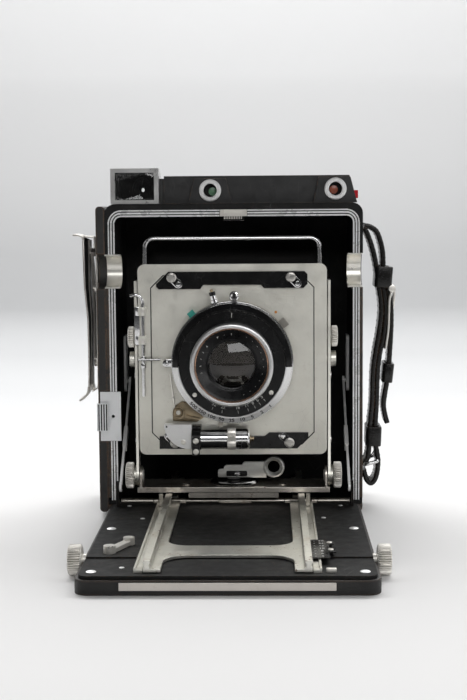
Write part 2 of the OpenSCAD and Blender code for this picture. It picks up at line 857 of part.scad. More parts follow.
module disc(r, out) {
    at_standard() rod_y(r, 0, [front - out[1], front - out[0]], lens_z);
}

// A block on a radius of the shutter, at an angle above +X
module radial(a, r, w, out) {
    at_standard() translate([0, 0, lens_z]) rotate([0, -a, 0])
        slab([r[0], r[1]], [front - out[1], front - out[0]], [-w / 2, w / 2]);
}

board_out = -plate_y + front;
module shutter_case() {
    color("#2a2b2c") difference() {
        union() {
            ring(38, 21.4, [board_out, 19.5]);
            ring(shutter_r - 4.7, 21.4, [19.4, 25]);
            ring(22, 16.8, [board_out, board_out + 1.4]);
            ring(20, 16.8, [2, board_out]);
            ring(24, 19.9, [2, board_out - plate_t]);
            at_standard() translate([0, front - 14, lens_z]) rotate([0, -16, 0])
                cylinder(r = 2.1, h = 48);
        }
        disc(16.8, [0, 12]);
        disc(21.4, [board_out + 1.4, 30]);
    }
}

module shutter_blades() {
    color("#3b3b3d") disc(20.8, [board_out + 1.5, board_out + 2.5]);
}

module scale_plate() {
    color("#141414") difference() {
        ring(shutter_r - 4.7, 21.4, [25, 26.2]);
        radial(90, [30, 34], 1.4, [25.6, 27]);
    }
}

module lens_cells() {
    cone = 15.2;
    color("#9fa1a2") {
        difference() {
            union() {
                disc(21.2, [13, 26.2]);
                disc(bezel_r, [26.2, 37.4]);
            }
            at_standard() translate([0, front - 30, lens_z]) rotate([90, 0, 0])
                cylinder(r1 = cone, r2 = 24, h = 7.41);
            disc(cone, [12, 31]);
        }
        difference() {
            union() {
                disc(16.6, [0, 8]);
                disc(18.4, [-11, 0]);
            }
            disc(12.2, [-12, 9]);
        }
    }
}

module lens_glass() {
    color("#56423a", 0.5) {
        intersection() {
            disc(15.1, [22, 34]);
            at_standard() translate([0, front - 31 + 38, lens_z]) sphere(40, $fn = 96);
        }
        disc(12.1, [-9, -3]);
    }
}

module speed_ring() {
    ribs = 72;
    color("#c6c6c4") difference() {
        ring(shutter_r, shutter_r - 4.4, [19.9, 26.6]);
        at_standard() for (i = [0:ribs - 1]) translate([0, 0, lens_z]) rotate([0, i * 360 / ribs, 0])
            slab([shutter_r - 0.4, shutter_r + 1], [front - 25, front - 21], [-0.5, 0.5]);
    }
}

module aperture_ring() {
    color("#a8a8a4") {
        ring(40.2, 38.3, [9.4, 11.4]);
        radial(259, [40, 45], 3, [9.4, 11.4]);
        radial(37, [40, 44.4], 6, [9.4, 12.4]);
    }
}

// The shutter's cocking lever: a collar round the case with a knurled tip
module cocking_lever() {
    color("#d0d0cc") {
        ring(40, 38.3, [16.8, 18.2]);
        radial(89, [39.8, 44], 3, [16.8, 18.2]);
        at_standard() rod_y(3, 0.8, [front - 22, front - 16.8], lens_z + 45.2);
    }
}

// A short lever on a slice of collar that slides round the case, at an angle above +X
module rim_lever(a, reach, w) {
    intersection() {
        ring(40.2, 38.3, [12.6, 16]);
        radial(a, [30, 50], w + 2, [12, 17]);
    }
    radial(a, [39.8, reach], w, [13, 14.6]);
}

module sync_lever() {
    color("#2f9b8c") rim_lever(130, 43.4, 4.6);
}

module release_lever() {
    color("#c4c4c0") rim_lever(181, 46, 12);
}

// ---- assembly ----
body_shell();
side_cover();
front_trim();
notch_liners();
rangefinder_housing();
finder_glasses();
viewfinder_body();
bed_catch();
hinge_barrel();
brace_tracks();
inner_rails();
release_plate();
flash_bracket();
handle_strap();
strap_hardware();
back_frame();
tripod_plate();
bellows();
release_pad();
red_button();
peep_sight();
focus_panel();
ground_glass();
focusing_hood();
back_locks();
bed_panel();
bed_plate();
bed_edge_strip();
bed_hinge();
guide_rails();
focus_track();
pinion_shaft();
focus_knobs();
track_lock_lever();
infinity_stops();
brace_left();
brace_right();
standard_base();
clamp_lever();
standard_arms();
tilt_knobs();
rise_knobs();
lens_frame_plate();
lens_board();
slider_screws();
top_slider();
bottom_slider();
wire_finder();
release_rod();
solenoid();
shutter_case();
shutter_blades();
scale_plate();
lens_cells();
lens_glass();
speed_ring();
aperture_ring();
cocking_lever();
sync_lever();
release_lever();
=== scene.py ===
"""Looks of a folding press camera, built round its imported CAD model.

Lengths are in millimetres until a mesh is made. A profile is a list of (radius, height), an outline a list of (x, y).
"""
import math

import bmesh
import bpy
from mathutils import Matrix, Vector


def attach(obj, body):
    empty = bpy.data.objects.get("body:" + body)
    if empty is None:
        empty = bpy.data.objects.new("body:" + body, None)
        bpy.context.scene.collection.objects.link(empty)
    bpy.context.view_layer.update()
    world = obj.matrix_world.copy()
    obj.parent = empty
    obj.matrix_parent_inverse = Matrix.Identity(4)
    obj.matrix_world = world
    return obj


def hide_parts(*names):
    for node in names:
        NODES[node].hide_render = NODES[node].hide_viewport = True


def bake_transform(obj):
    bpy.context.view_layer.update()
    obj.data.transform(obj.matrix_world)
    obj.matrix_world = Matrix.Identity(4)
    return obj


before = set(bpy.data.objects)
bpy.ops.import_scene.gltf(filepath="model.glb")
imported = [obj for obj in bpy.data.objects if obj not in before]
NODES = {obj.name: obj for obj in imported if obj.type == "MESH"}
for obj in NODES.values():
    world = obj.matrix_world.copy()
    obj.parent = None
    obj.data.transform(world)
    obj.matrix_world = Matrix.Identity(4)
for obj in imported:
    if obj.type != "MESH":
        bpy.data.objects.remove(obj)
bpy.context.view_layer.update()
MM = 0.001

# Places of the CAD model. FRONT is the plane of the box's front edge, and a name with OUT is measured forward of it
FRONT, BACK, SIDE, TOP = -43, 43, 85.5, 210
BED_TOP, RAIL_TOP = 10.4, 17.4
STANDARD_X, LENS_Z, PLATE_OUT = -1, 106.2, 7.5
TILT_Y, TILT_Z, RISE_Z = FRONT - 2, 28.6, 122
SHAFT_OUT, SHAFT_Z, KNOB_INNER, KNOB_OUTER = 155, 9.1, 83.8, 91.6


# ---- materials ----
def settle(thing, **settings):
    """Sets properties of a Blender thing, and returns it."""
    for key, value in settings.items():
        setattr(thing, key, value)
    return thing


def rgba(colour):
    """A colour, or one level of grey, as four numbers."""
    return (*colour, 1) if isinstance(colour, tuple) else (colour, colour, colour, 1)


def tone(colour, scale, lift=0):
    return tuple(min(c * scale + lift, 0.9) for c in colour)


class Tree:
    """A node tree, with a short call for each kind of node used here."""

    def __init__(self, tree):
        self.tree = tree

    def feed(self, socket, value):
        """Links an output to a socket, or sets the socket to a constant."""
        if isinstance(value, bpy.types.NodeSocket):
            self.tree.links.new(value, socket)
        else:
            socket.default_value = rgba(value) if socket.type == "RGBA" else value

    def node(self, kind, **inputs):
        made = self.tree.nodes.new(kind)
        for key, value in inputs.items():
            self.feed(made.inputs[key.replace("_", " ")], value)
        return made

    def ramp(self, fac, *stops):
        """A colour ramp; a stop is (place, grey) or (place, colour)."""
        made = self.node("ShaderNodeValToRGB", Fac=fac)
        points = made.color_ramp.elements
        while len(points) < len(stops):
            points.new(0.5)
        for point, (at, colour) in zip(points, stops):
            settle(point, position=at, color=rgba(colour))
        return made.outputs[0]


class Look(Tree):
    """One material, textured in the object's own coordinates."""

    def __init__(self, name, rough=0.5, metal=0, **fixed):
        self.mat = bpy.data.materials.new(name)
        self.mat.use_nodes = True
        super().__init__(self.mat.node_tree)
        self.shader = self.tree.nodes["Principled BSDF"]
        self.fixed(Roughness=rough, Metallic=metal, **fixed)
        self.place = self.node("ShaderNodeTexCoord").outputs["Object"]

    def fixed(self, **values):
        for key, value in values.items():
            self.feed(self.shader.inputs[key.replace("_", " ")], value)

    def stretched(self, x, y, z, turn=(0, 0, 0)):
        """The object's own coordinates, scaled along each axis."""
        return self.node("ShaderNodeMapping", Vector=self.place, Scale=(x, y, z), Rotation=turn).outputs[0]

    def noise(self, size, detail=3, rough=0.55, place=None):
        """Fractal noise whose features are about size mm across."""
        return self.node("ShaderNodeTexNoise", Vector=place or self.place, Scale=1 / (size * MM), Detail=detail,
                         Roughness=rough).outputs[0]

    def cloud(self, noise, low, high, top=1):
        """Noise drawn out to run from 0 to a top between two of its levels; noise is what noise() takes."""
        return self.ramp(self.noise(*noise), (low, 0), (high, top))

    def cracks(self, size, place=None):
        """The distance to the nearest border between cells about size mm across."""
        made = self.node("ShaderNodeTexVoronoi", Vector=place or self.place, Scale=1 / (size * MM))
        return settle(made, feature="DISTANCE_TO_EDGE").outputs[0]

    def combine(self, made, values, result):
        """Feeds numbered inputs of a node, and returns one output."""
        for socket, value in values.items():
            self.feed(made.inputs[socket], value)
        return made.outputs[result]

    def mix(self, fac, a, b):
        made = settle(self.node("ShaderNodeMix"), data_type="RGBA")
        return self.combine(made, {0: fac, 6: a, 7: b}, 2)

    def times(self, a, b):
        made = settle(self.node("ShaderNodeMath"), operation="MULTIPLY", use_clamp=True)
        return self.combine(made, {0: a, 1: b}, 0)

    def along(self, axis):
        return self.node("ShaderNodeSeparateXYZ", Vector=self.place).outputs[axis]

    def edges(self, radius):
        """1 on edges tighter than a radius in mm, 0 on flat surfaces."""
        soft = settle(self.node("ShaderNodeBevel", Radius=radius * MM), samples=4).outputs[0]
        flat = self.node("ShaderNodeNewGeometry").outputs["Normal"]
        made = settle(self.node("ShaderNodeVectorMath"), operation="DOT_PRODUCT")
        return self.ramp(self.combine(made, {0: soft, 1: flat}, "Value"), (0.8, 1), (0.985, 0))

    def scratches(self, size, stretch, width, where):
        """Fine lines between stretched cells, kept to the places where a mask lets them show."""
        lines = self.cracks(size, self.stretched(*stretch))
        return self.times(self.ramp(lines, (0, 1), (width, 0)), where)

    def specks(self, small, large, low, high, share):
        """Small spots within large patches; small and large are what noise takes."""
        return self.times(self.cloud(small, 0.6, 0.66), self.cloud(large, low, high, share))

    def bump(self, height, strength, depth, below=None):
        """Relief of a depth in mm; below is an earlier bump that this one lies on."""
        made = self.node("ShaderNodeBump", Height=height, Strength=strength, Distance=depth * MM)
        if below:
            self.feed(made.inputs["Normal"], below)
        self.fixed(Normal=made.outputs[0])
        return made.outputs[0]


def leather(name, dark, light, rough, grain, depth, worn=0):
    """Grained leather: pebbles, creases, rub marks, and tan showing at worn edges."""
    look = Look(name, Specular_IOR_Level=0.42)
    pebble = look.cracks(grain)
    shade = look.mix(look.cloud((22, 4), 0.35, 0.7), dark, light)
    if worn:
        rubbed = look.times(look.edges(2), look.cloud((5, 5, 0.7), 0.34, 0.54, worn))
        shade = look.mix(rubbed, shade, look.mix(look.noise(2.2, 2), (0.2, 0.105, 0.045), (0.09, 0.05, 0.03)))
    roughness = look.ramp(look.noise(grain * 1.5, 4), (0.25, rough - 0.1), (0.75, rough + 0.12))
    look.fixed(Base_Color=shade, Roughness=roughness)
    first = look.bump(look.ramp(pebble, (0, 0), (0.22, 1)), 0.55, depth)
    look.bump(look.noise(grain * 2.4, 5, 0.6), 0.35, depth * 1.3, first)
    return look.mat


def metal(name, colour, rough, brushed=None, stain=0, spots=0, worn=0, tint=(0.17, 0.09, 0.04), share=1):
    """Bare or plated metal: brushing along an axis, scratches, dull patches, stains and rust spots.

    share is the metallic share of the surface; the rest is a pale coat.
    """
    look = Look(name, metal=share)
    patch = look.noise(30, 4, 0.6)
    base = look.mix(look.ramp(patch, (0.3, 0), (0.75, 1)), colour, tone(colour, 0.86))
    scratch = look.scratches(7, (1, 0.35, 0.8, (0.3, 0.5, 0.9)), 0.012, look.ramp(patch, (0.48, 0), (0.6, 1)))
    roughness = look.mix(look.cloud((9, 5, 0.65), 0.3, 0.75), max(rough - 0.05, 0.03), rough + 0.09)
    if stain:
        base = look.mix(look.times(look.cloud((16, 6, 0.7), 0.5, 0.72), stain), base, tint)
    if spots:
        spot = look.specks((3.2, 4, 0.75), (24, 2), 0.45, 0.6, spots)
        base = look.mix(spot, base, (0.16, 0.065, 0.022))
        roughness = look.mix(spot, roughness, 0.85)
    if worn:
        base = look.mix(look.times(look.edges(0.7), worn), base, tone(colour, 1.5, 0.1))
    base = look.mix(look.times(scratch, 0.35), base, tone(colour, 0.5))
    look.fixed(Base_Color=base, Roughness=look.mix(scratch, roughness, 0.5))
    fine = look.noise(0.5, 3, 0.6, brushed and look.stretched(*brushed))
    look.bump(fine, 0.1 if brushed else 0.05, 0.04)
    return look.mat


def enamel(name, colour, rough, grain=0, worn=0, rust=0, under=(0.42, 0.4, 0.36), shine=0.3):
    """Paint on metal: fine texture, scuffs, metal showing at worn edges, and rust that has crept through."""
    look = Look(name, Specular_IOR_Level=shine)
    cloudy = look.noise(18, 5, 0.6)
    base = look.mix(look.ramp(cloudy, (0.35, 0), (0.7, 1)), colour, tone(colour, 1.7, 0.0015))
    scuff = look.scratches(11, (1, 0.3, 0.7, (0.4, 0.2, 1.1)), 0.01, look.ramp(cloudy, (0.5, 0), (0.62, 0.28)))
    base = look.mix(scuff, base, (0.13, 0.13, 0.125))
    roughness = look.ramp(look.noise(6, 5, 0.65), (0.3, rough - 0.07), (0.75, rough + 0.1))
    if worn:
        edge = look.times(look.edges(0.6), look.cloud((3, 5, 0.7), 0.45, 0.6, worn))
        base = look.mix(edge, base, under)
    if rust:
        base = look.mix(look.specks((2.6, 5, 0.75), (30, 3), 0.48, 0.62, rust), base, (0.13, 0.055, 0.025))
    look.fixed(Base_Color=base, Roughness=roughness)
    if grain:
        look.bump(look.noise(grain, 3, 0.6), 0.5, grain * 0.12)
    return look.mat


def clear(name, colour, rough=0):
    look = Look(name, rough, Transmission_Weight=1, IOR=1.5)
    look.fixed(Base_Color=look.mix(look.cloud((14, 3), 0.4, 0.7), colour, tone(colour, 0.93)))
    return look.mat


def gloss(name, colour, rough=0.2):
    look = Look(name, rough)
    look.fixed(Base_Color=look.mix(look.noise(2, 4), colour, tone(colour, 0.75)))
    look.bump(look.noise(0.8, 3), 0.15, 0.05)
    return look.mat


# The box and the bed are covered with one leather. The box's copy gets a lighter base colour as painted sheen; the
# bed's copy keeps the darker leather colour. They also differ in wear.
LEATHER = leather("black_leather", (0.015, 0.0147, 0.0143), (0.024, 0.0232, 0.0218), 0.42, 1.15, 0.14, worn=0.9)
BED_LEATHER = leather("bed_leather", (0.006, 0.0058, 0.0056), (0.016, 0.015, 0.014), 0.44, 1.15, 0.14, worn=0.45)
STRAP = leather("strap_leather", (0.004, 0.004, 0.004), (0.01, 0.009, 0.008), 0.22, 0.8, 0.03, worn=0.25)
BELLOWS = leather("bellows_leather", (0.004, 0.004, 0.004), (0.008, 0.0075, 0.007), 0.7, 0.8, 0.08)
CRACKLE = enamel("black_crackle", (0.013, 0.013, 0.0133), 0.36, grain=0.5, worn=0.8, under=(0.2, 0.12, 0.07),
                 shine=0.5)
ENAMEL = enamel("black_enamel", (0.0038, 0.0038, 0.004), 0.22, worn=0.4)
PLATE_BLACK = enamel("bed_black", (0.0045, 0.0045, 0.0045), 0.6, grain=0.55, worn=0.6, rust=0.6,
                     under=(0.17, 0.12, 0.08), shine=0.16)
INSIDE = enamel("inside_black", (0.005, 0.005, 0.005), 0.75, grain=0.8, rust=0.2)
CHROME = metal("chrome", (0.78, 0.78, 0.785), 0.1, spots=0.08)
NICKEL = metal("nickel", (0.86, 0.835, 0.78), 0.3, stain=0.05, spots=0.1, share=0.65)
LINER = metal("notch_nickel", (0.88, 0.86, 0.8), 0.3, (1, 0.06, 0.06), share=0.8)
FINDER = metal("finder_nickel", (0.8, 0.8, 0.79), 0.3, spots=0.1)
FROST = metal("frosted_alloy", (0.88, 0.89, 0.9), 0.38, (0.2, 1, 1), spots=0.12, worn=0.4)
TRACK = metal("track_alloy", (0.78, 0.77, 0.71), 0.34, (0.04, 1, 0.04), stain=0.38, spots=0.95,
              tint=(0.38, 0.27, 0.16))
PLATE = metal("plate_alloy", (0.86, 0.845, 0.77), 0.38, (1, 1, 0.05), stain=0.1, spots=0.08, worn=0.3,
              tint=(0.5, 0.44, 0.34))
BASE = metal("base_alloy", (0.8, 0.75, 0.68), 0.34, (1, 0.05, 0.05), stain=0.75, spots=0.9, worn=0.6,
             tint=(0.2, 0.14, 0.09))
# The struts are polished steel; their near-white, almost non-metallic colour is a painted reflection of the white
# paper round them.
STRUT = metal("strut_steel", (0.97, 0.97, 0.96), 0.22, (0.05, 0.05, 1), share=0.05)
DARK_NICKEL = metal("dark_nickel", (0.4, 0.38, 0.34), 0.32, stain=0.45, spots=0.5, worn=0.7, tint=(0.12, 0.09, 0.06))
COPPER = metal("copper_ring", (0.55, 0.34, 0.24), 0.25)
BRASS = metal("aged_brass", (0.42, 0.34, 0.23), 0.36, stain=0.6, spots=0.5, tint=(0.12, 0.08, 0.045))
STRIP = metal("edge_strip", (0.66, 0.62, 0.575), 0.38, (0.04, 1, 1), spots=0.1, share=0.5)
GLASS = clear("glass", (0.93, 0.95, 0.94))
LENS_GLASS = clear("coated_glass", (0.8, 0.76, 0.72))
GROUND = clear("ground_glass", (0.9, 0.93, 0.92), 0.55)
RED = gloss("red_plastic", (0.62, 0.02, 0.03))
TEAL = gloss("teal_enamel", (0.05, 0.4, 0.33), 0.35)
WHITE_INK = gloss("white_ink", (0.72, 0.72, 0.69), 0.5)
BLACK_INK = gloss("black_ink", (0.012, 0.012, 0.012), 0.5)
ORANGE_INK = gloss("orange_ink", (0.75, 0.3, 0.04), 0.5)
THREAD = gloss("thread", (0.035, 0.033, 0.03), 0.7)
SATIN_CHROME = metal("satin_chrome", (0.86, 0.86, 0.855), 0.34, share=0.45)
inside_lens = Look("lens_inside", 0.9, Specular_IOR_Level=0.1)
inside_lens.fixed(Base_Color=inside_lens.mix(inside_lens.noise(1.5), (0.002, 0.002, 0.002), (0.005, 0.0045, 0.004)))
HOLLOW = inside_lens.mat
TRIM = metal("trim_chrome", (0.92, 0.92, 0.92), 0.28, share=0.35)
SCREW_STEEL = metal("screw_steel", (0.6, 0.585, 0.55), 0.28, stain=0.1, share=0.7)
# The inner lens element is opaque near-black gloss rather than glass: painted shade of the dark lens interior seen
# through it.
INNER_GLASS = gloss("inner_glass", (0.022, 0.019, 0.017), 0.22)


# ---- mesh building ----
def turned(origin, x, y, z):
    """A matrix that takes local axes to the given directions."""
    made = Matrix((x, y, z)).transposed().to_4x4()
    made.translation = Vector(origin)
    return made


def moved(x, y, z=0):
    return Matrix.Translation((x, y, z))


def forward(x, y, z):
    """Local z points forward, local x to the right and local y up."""
    return turned((x, y, z), (1, 0, 0), (0, 0, 1), (0, -1, 0))


def to_right(x, y, z, side=1):
    """Local z points to the right, or to the left if side is -1, and local y up."""
    return turned((x, y, z), (0, side, 0), (0, 0, 1), (side, 0, 0))


AHEAD = forward(0, FRONT, 0)
LENS = forward(STANDARD_X, FRONT, LENS_Z)
STANDARD = forward(STANDARD_X, FRONT, 0)


def polar(radius, angle, x=0, y=0):
    """The point at a distance and an angle in radians from (x, y)."""
    return x + radius * math.cos(angle), y + radius * math.sin(angle)


def quarter(start, steps):
    """The angles of a quarter turn from a start in degrees."""
    return [math.radians(start + 90 * i / steps) for i in range(steps + 1)]


def circle(radius, sides=12):
    return [polar(radius, 2 * math.pi * i / sides) for i in range(sides)]


def rounded_box(width, height, radius, steps=3, x=0, y=0):
    """The outline of a rounded rectangle about (x, y)."""
    far_x, far_y = width / 2 - radius, height / 2 - radius
    out = []
    for cx, cy, start in ((1, 1, 0), (-1, 1, 90), (-1, -1, 180), (1, -1, 270)):
        out += [polar(radius, a, cx * far_x, cy * far_y) for a in quarter(start, steps)]
    return [(a + x, b + y) for a, b in out]


def arch(half, top, radius, foot):
    """A round-cornered arch outline that is open at its foot."""
    right = [polar(radius, a, half - radius, top - radius) for a in quarter(0, 8)]
    return [(-half, foot), (half, foot)] + right + [(-x, y) for x, y in right[::-1]]


def capsule(start, end, radius, steps=8):
    """The outline round two points."""
    way = math.atan2(end[1] - start[1], end[0] - start[0])
    curve = [way + (math.pi * i / steps - math.pi / 2) for i in range(steps + 1)]
    return [polar(radius, a, *end) for a in curve] + [polar(-radius, a, *start) for a in curve]


def clipped(half, low, high, cut):
    """A rectangle with its corners cut off."""
    right = [(half - cut, low), (half, low + cut), (half, high - cut), (half - cut, high)]
    return [(-half + cut, low)] + right + [(-half + cut, high), (-half, high - cut), (-half, low + cut)]


def smooth_path(points, steps=6):
    """A Catmull-Rom curve through points."""
    points = [Vector(p) for p in points]
    ends = [points[0] * 2 - points[1]] + points + [points[-1] * 2 - points[-2]]
    out = []
    for a, b, c, d in zip(ends, ends[1:], ends[2:], ends[3:]):
        for t in (i / steps for i in range(steps)):
            out.append(0.5 * (2 * b + (c - a) * t + (2 * a - 5 * b + 4 * c - d) * t * t
                              + (3 * b - a - 3 * c + d) * t**3))
    return out + [points[-1]]


def part_of(points, faces):
    part = bmesh.new()
    made = [part.verts.new(p) for p in points]
    for face in faces:
        part.faces.new([made[i] for i in face])
    return part


def bands(rows, n, closed=False):
    """The faces between neighbouring rows of n points; closed joins the last row to the first."""
    pairs = [(r * n, (r + 1) % rows * n) for r in range(rows if closed else rows - 1)]
    return [[low + k, low + (k + 1) % n, high + (k + 1) % n, high + k] for low, high in pairs for k in range(n)]


def lathe(profile, segments=64, wave=None):
    """A profile turned round local z. wave(step, row) scales the radius at one step of one row."""
    points, faces, rows = [], [], []
    for row, (radius, height) in enumerate(profile):
        first = len(points)
        if radius < 1e-6:
            rows.append([first] * segments)
            points.append((0, 0, height))
            continue
        rows.append([first + i for i in range(segments)])
        for i in range(segments):
            scale = wave(i, row) if wave else 1
            points.append((*polar(radius * scale, 2 * math.pi * i / segments), height))
    for low, high in zip(rows, rows[1:]):
        for i in range(segments):
            j = (i + 1) % segments
            corners = list(dict.fromkeys((low[i], low[j], high[j], high[i])))
            if len(corners) > 2:
                faces.append(corners)
    return part_of(points, faces)


def rod(radius, low, high, sides=32):
    return lathe([(0, low), (radius, low), (radius, high), (0, high)], sides)


def prism(outline, low, high):
    """A closed outline in local x and y, made solid from low to high along local z."""
    n = len(outline)
    points = [(x, y, low) for x, y in outline] + [(x, y, high) for x, y in outline]
    return part_of(points, [list(range(n))[::-1], list(range(n, 2 * n))] + bands(2, n))


def block(x, y, z):
    return prism([(x[0], y[0]), (x[1], y[0]), (x[1], y[1]), (x[0], y[1])], *z)


def sweep(path, section, closed=False, up=(0, 1, 0)):
    """A section of (across, along up) points carried along a path, with its up direction held."""
    n, m = len(path), len(section)
    path = [Vector(p) for p in path]
    points = []
    for i, p in enumerate(path):
        before = path[i - 1] if i or closed else p
        after = path[(i + 1) % n] if i < n - 1 or closed else p
        ahead = (after - before).normalized()
        across = ahead.cross(Vector(up)).normalized()
        lift = across.cross(ahead).normalized()
        points += [p + across * a + lift * b for a, b in section]
    faces = bands(n, m, closed)
    if not closed:
        faces += [list(range(m))[::-1], [(n - 1) * m + k for k in range(m)]]
    return part_of(points, faces)


def put(part, place):
    part.transform(place)
    return part


def link(name, data):
    """A new object in the scene that holds a mesh, curve, light or camera."""
    made = bpy.data.objects.new(name, data)
    bpy.context.scene.collection.objects.link(made)
    return made


def carve(part, *tools):
    """A closed part with other closed parts cut out of it."""
    holders = []
    for shape in (part, *tools):
        bmesh.ops.recalc_face_normals(shape, faces=shape.faces)
        mesh = bpy.data.meshes.new("shape")
        shape.to_mesh(mesh)
        shape.free()
        holders.append(link("shape", mesh))
    for tool in holders[1:]:
        settle(holders[0].modifiers.new("cut", "BOOLEAN"), operation="DIFFERENCE", solver="EXACT", object=tool)
    mesh = bpy.data.meshes.new_from_object(holders[0].evaluated_get(bpy.context.evaluated_depsgraph_get()))
    made = bmesh.new()
    made.from_mesh(mesh)
    for holder in holders:
        bpy.data.objects.remove(holder)
    bmesh.ops.dissolve_limit(made, angle_limit=math.radians(0.5), verts=made.verts, edges=made.edges)
    return made


class Build:
    """One piece made of several closed shapes, each with a finish of its own: a number of one of its materials."""

    def __init__(self, *materials):
        self.whole = bmesh.new()
        self.materials = materials

    def add(self, part, place=None, bevel=0, steps=2, finish=0, corner=30):
        """Adds a part at a place; finish may also be a test of the middle of each face."""
        if place is not None:
            part.transform(place)
        bmesh.ops.recalc_face_normals(part, faces=part.faces)
        if bevel:
            edges = [e for e in part.edges if len(e.link_faces) == 2 and e.calc_face_angle() > math.radians(corner)]
            bmesh.ops.bevel(part, geom=edges, offset=bevel, segments=steps, affect="EDGES", profile=0.6,
                            clamp_overlap=True)
        for face in part.faces:
            face.material_index = finish(face.calc_center_median()) if callable(finish) else finish
        held = bpy.data.meshes.new("held")
        part.to_mesh(held)
        part.free()
        self.whole.from_mesh(held)
        bpy.data.meshes.remove(held)
        return self

    def turn(self, profile, segments, place, wave=None, **how):
        return self.add(lathe(profile, segments, wave), place, **how)

    def pad(self, box, middle, depth, place, **how):
        """A rounded rectangle of (width, height, corner radius), between two depths along local z."""
        return self.add(prism(rounded_box(*box, x=middle[0], y=middle[1]), *depth), place, **how)

    def screw(self, place, radius, height, turn=0, finish=0):
        """A slotted screw head standing on local z of a place: a dome in two halves over a base."""
        gap, floor, steps = 0.13 * radius, 0.45 * height, 14
        spin = place @ Matrix.Rotation(math.radians(turn), 4, "Z")
        self.add(rod(radius, 0, floor, 24), spin, finish=finish)
        start = math.asin(gap / radius)
        arc = [start + (math.pi - 2 * start) * i / steps for i in range(steps + 1)]
        n = len(arc)
        for side in (0, math.pi):
            points = []
            for scale, z in ((1, floor * 0.98), (0.99, height * 0.68), (0.86, height * 0.9), (0.6, height)):
                points += [(radius * scale * math.cos(a), max(radius * scale * math.sin(a), gap), z) for a in arc]
            faces = [list(range(n))[::-1], list(range(3 * n, 4 * n))] + bands(4, n)
            self.add(part_of(points, faces), spin @ Matrix.Rotation(side, 4, "Z"), finish=finish)
        return self

    def made(self, name, smooth=32):
        """The object, shaded smooth over edges flatter than an angle in degrees."""
        for face in self.whole.faces:
            face.smooth = True
        limit = math.radians(smooth)
        for edge in self.whole.edges:
            edge.smooth = len(edge.link_faces) == 2 and edge.calc_face_angle() < limit
        self.whole.transform(Matrix.Scale(MM, 4))
        mesh = bpy.data.meshes.new(name)
        self.whole.to_mesh(mesh)
        self.whole.free()
        for material in self.materials:
            mesh.materials.append(material)
        return link(name, mesh)

    def piece(self, name, body, slot, stands_for=(), smooth=32):
        made = self.made(name, smooth)
        if body:
            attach(made, body)
        if stands_for:
            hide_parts(*stands_for)
        return made


def lettering(name, words, material, body, slot, bold=0):
    """Numbers on a dial. words is a list of (text, height, matrix of its middle), and makes one piece."""
    build = Build(material)
    for text, height, place in words:
        curve = settle(bpy.data.curves.new("word", "FONT"), body=text, size=height * 1.4, align_x="CENTER",
                       align_y="CENTER", extrude=0.04, offset=bold, resolution_u=3)
        holder = link("word", curve)
        bpy.context.view_layer.update()
        mesh = bpy.data.meshes.new_from_object(holder)
        mesh.transform(place)
        build.whole.from_mesh(mesh)
        bpy.data.objects.remove(holder)
        bpy.data.curves.remove(curve)
        bpy.data.meshes.remove(mesh)
    build.piece(name, body, slot)


# ---- box: leather outside, matt black inside ----
NOTCH_Y, NOTCH_Z, NOTCH_R, NOTCH_RUN = FRONT - 1.7, 165.4, 11.4, 7
# The outline of a thumb notch, seen from the side: local x is towards the back and local y is up
notch = [polar(NOTCH_R, math.radians(a)) for a in range(-180, 180, 9)]
notch = [(x + (NOTCH_RUN if x > 0 else 0), y) for x, y in notch]
shell = carve(
    put(prism(rounded_box(2 * SIDE, TOP, 7, 6, y=TOP / 2), -86, 0), AHEAD),
    put(block((-79.5, 79.5), (8.5, 201.5), (-81, 1)), AHEAD),
    put(prism(rounded_box(132, 112, 2, y=106), -87, -80), AHEAD),
    put(prism(arch(83.5, 206, 9, 11), -1.5, 1), AHEAD),
    put(prism(notch, 74, 87), to_right(0, NOTCH_Y, NOTCH_Z)),
    put(prism(notch, -87, -74), to_right(0, NOTCH_Y, NOTCH_Z)),
    put(rod(2.7, -90, 90, 24), to_right(0, FRONT - 0.4, BED_TOP)),
    put(block((-90.4, -74), (51.4, 85), (-1.4, 1)), AHEAD),
    rod(16.2, -1, 9, 48),
)
# Faces whose middle is within these are black inside faces
IN_HALF, IN_LOW, IN_HIGH, IN_BACK = 82.9, 8, 204, BACK - 4.9
box = Build(LEATHER, INSIDE)
box.add(shell, bevel=0.7, steps=3, corner=40,
        finish=lambda c: int(abs(c.x) < IN_HALF and IN_LOW < c.z < IN_HIGH and c.y < IN_BACK))
box.piece("box_covering", "box", "black_leather", ["body_shell"])

# ---- bellows: a pleated sleeve of leather ----
PLEATS, FOLD, THICK, WIDENING = 13, 2, 0.9, 14
SLEEVE_FRONT, SLEEVE_BACK, SLEEVE_HALF, SLEEVE_LOW, SLEEVE_HIGH, SLEEVE_CUT = 0.4, -80.8, 48.5, 51.5, 161.5, 6
points = []
for leather_side in (0, THICK):
    steps = list(range(2 * PLEATS + 1))
    for i in steps[::-1] if leather_side else steps:
        t = i / (2 * PLEATS)
        back = SLEEVE_FRONT + (SLEEVE_BACK - SLEEVE_FRONT) * t
        grow = WIDENING * t + (FOLD if i % 2 else -FOLD) - leather_side
        corners = clipped(SLEEVE_HALF + grow, SLEEVE_LOW - grow, SLEEVE_HIGH + grow, SLEEVE_CUT)
        points += [(STANDARD_X + x, z, back) for x, z in corners]
bellows = Build(BELLOWS).add(part_of(points, bands(len(points) // 8, 8, True)), AHEAD, bevel=0.35, corner=20)
bellows = bellows.piece("pleated_bellows", None, "bellows_leather", ["bellows"])
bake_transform(bellows)


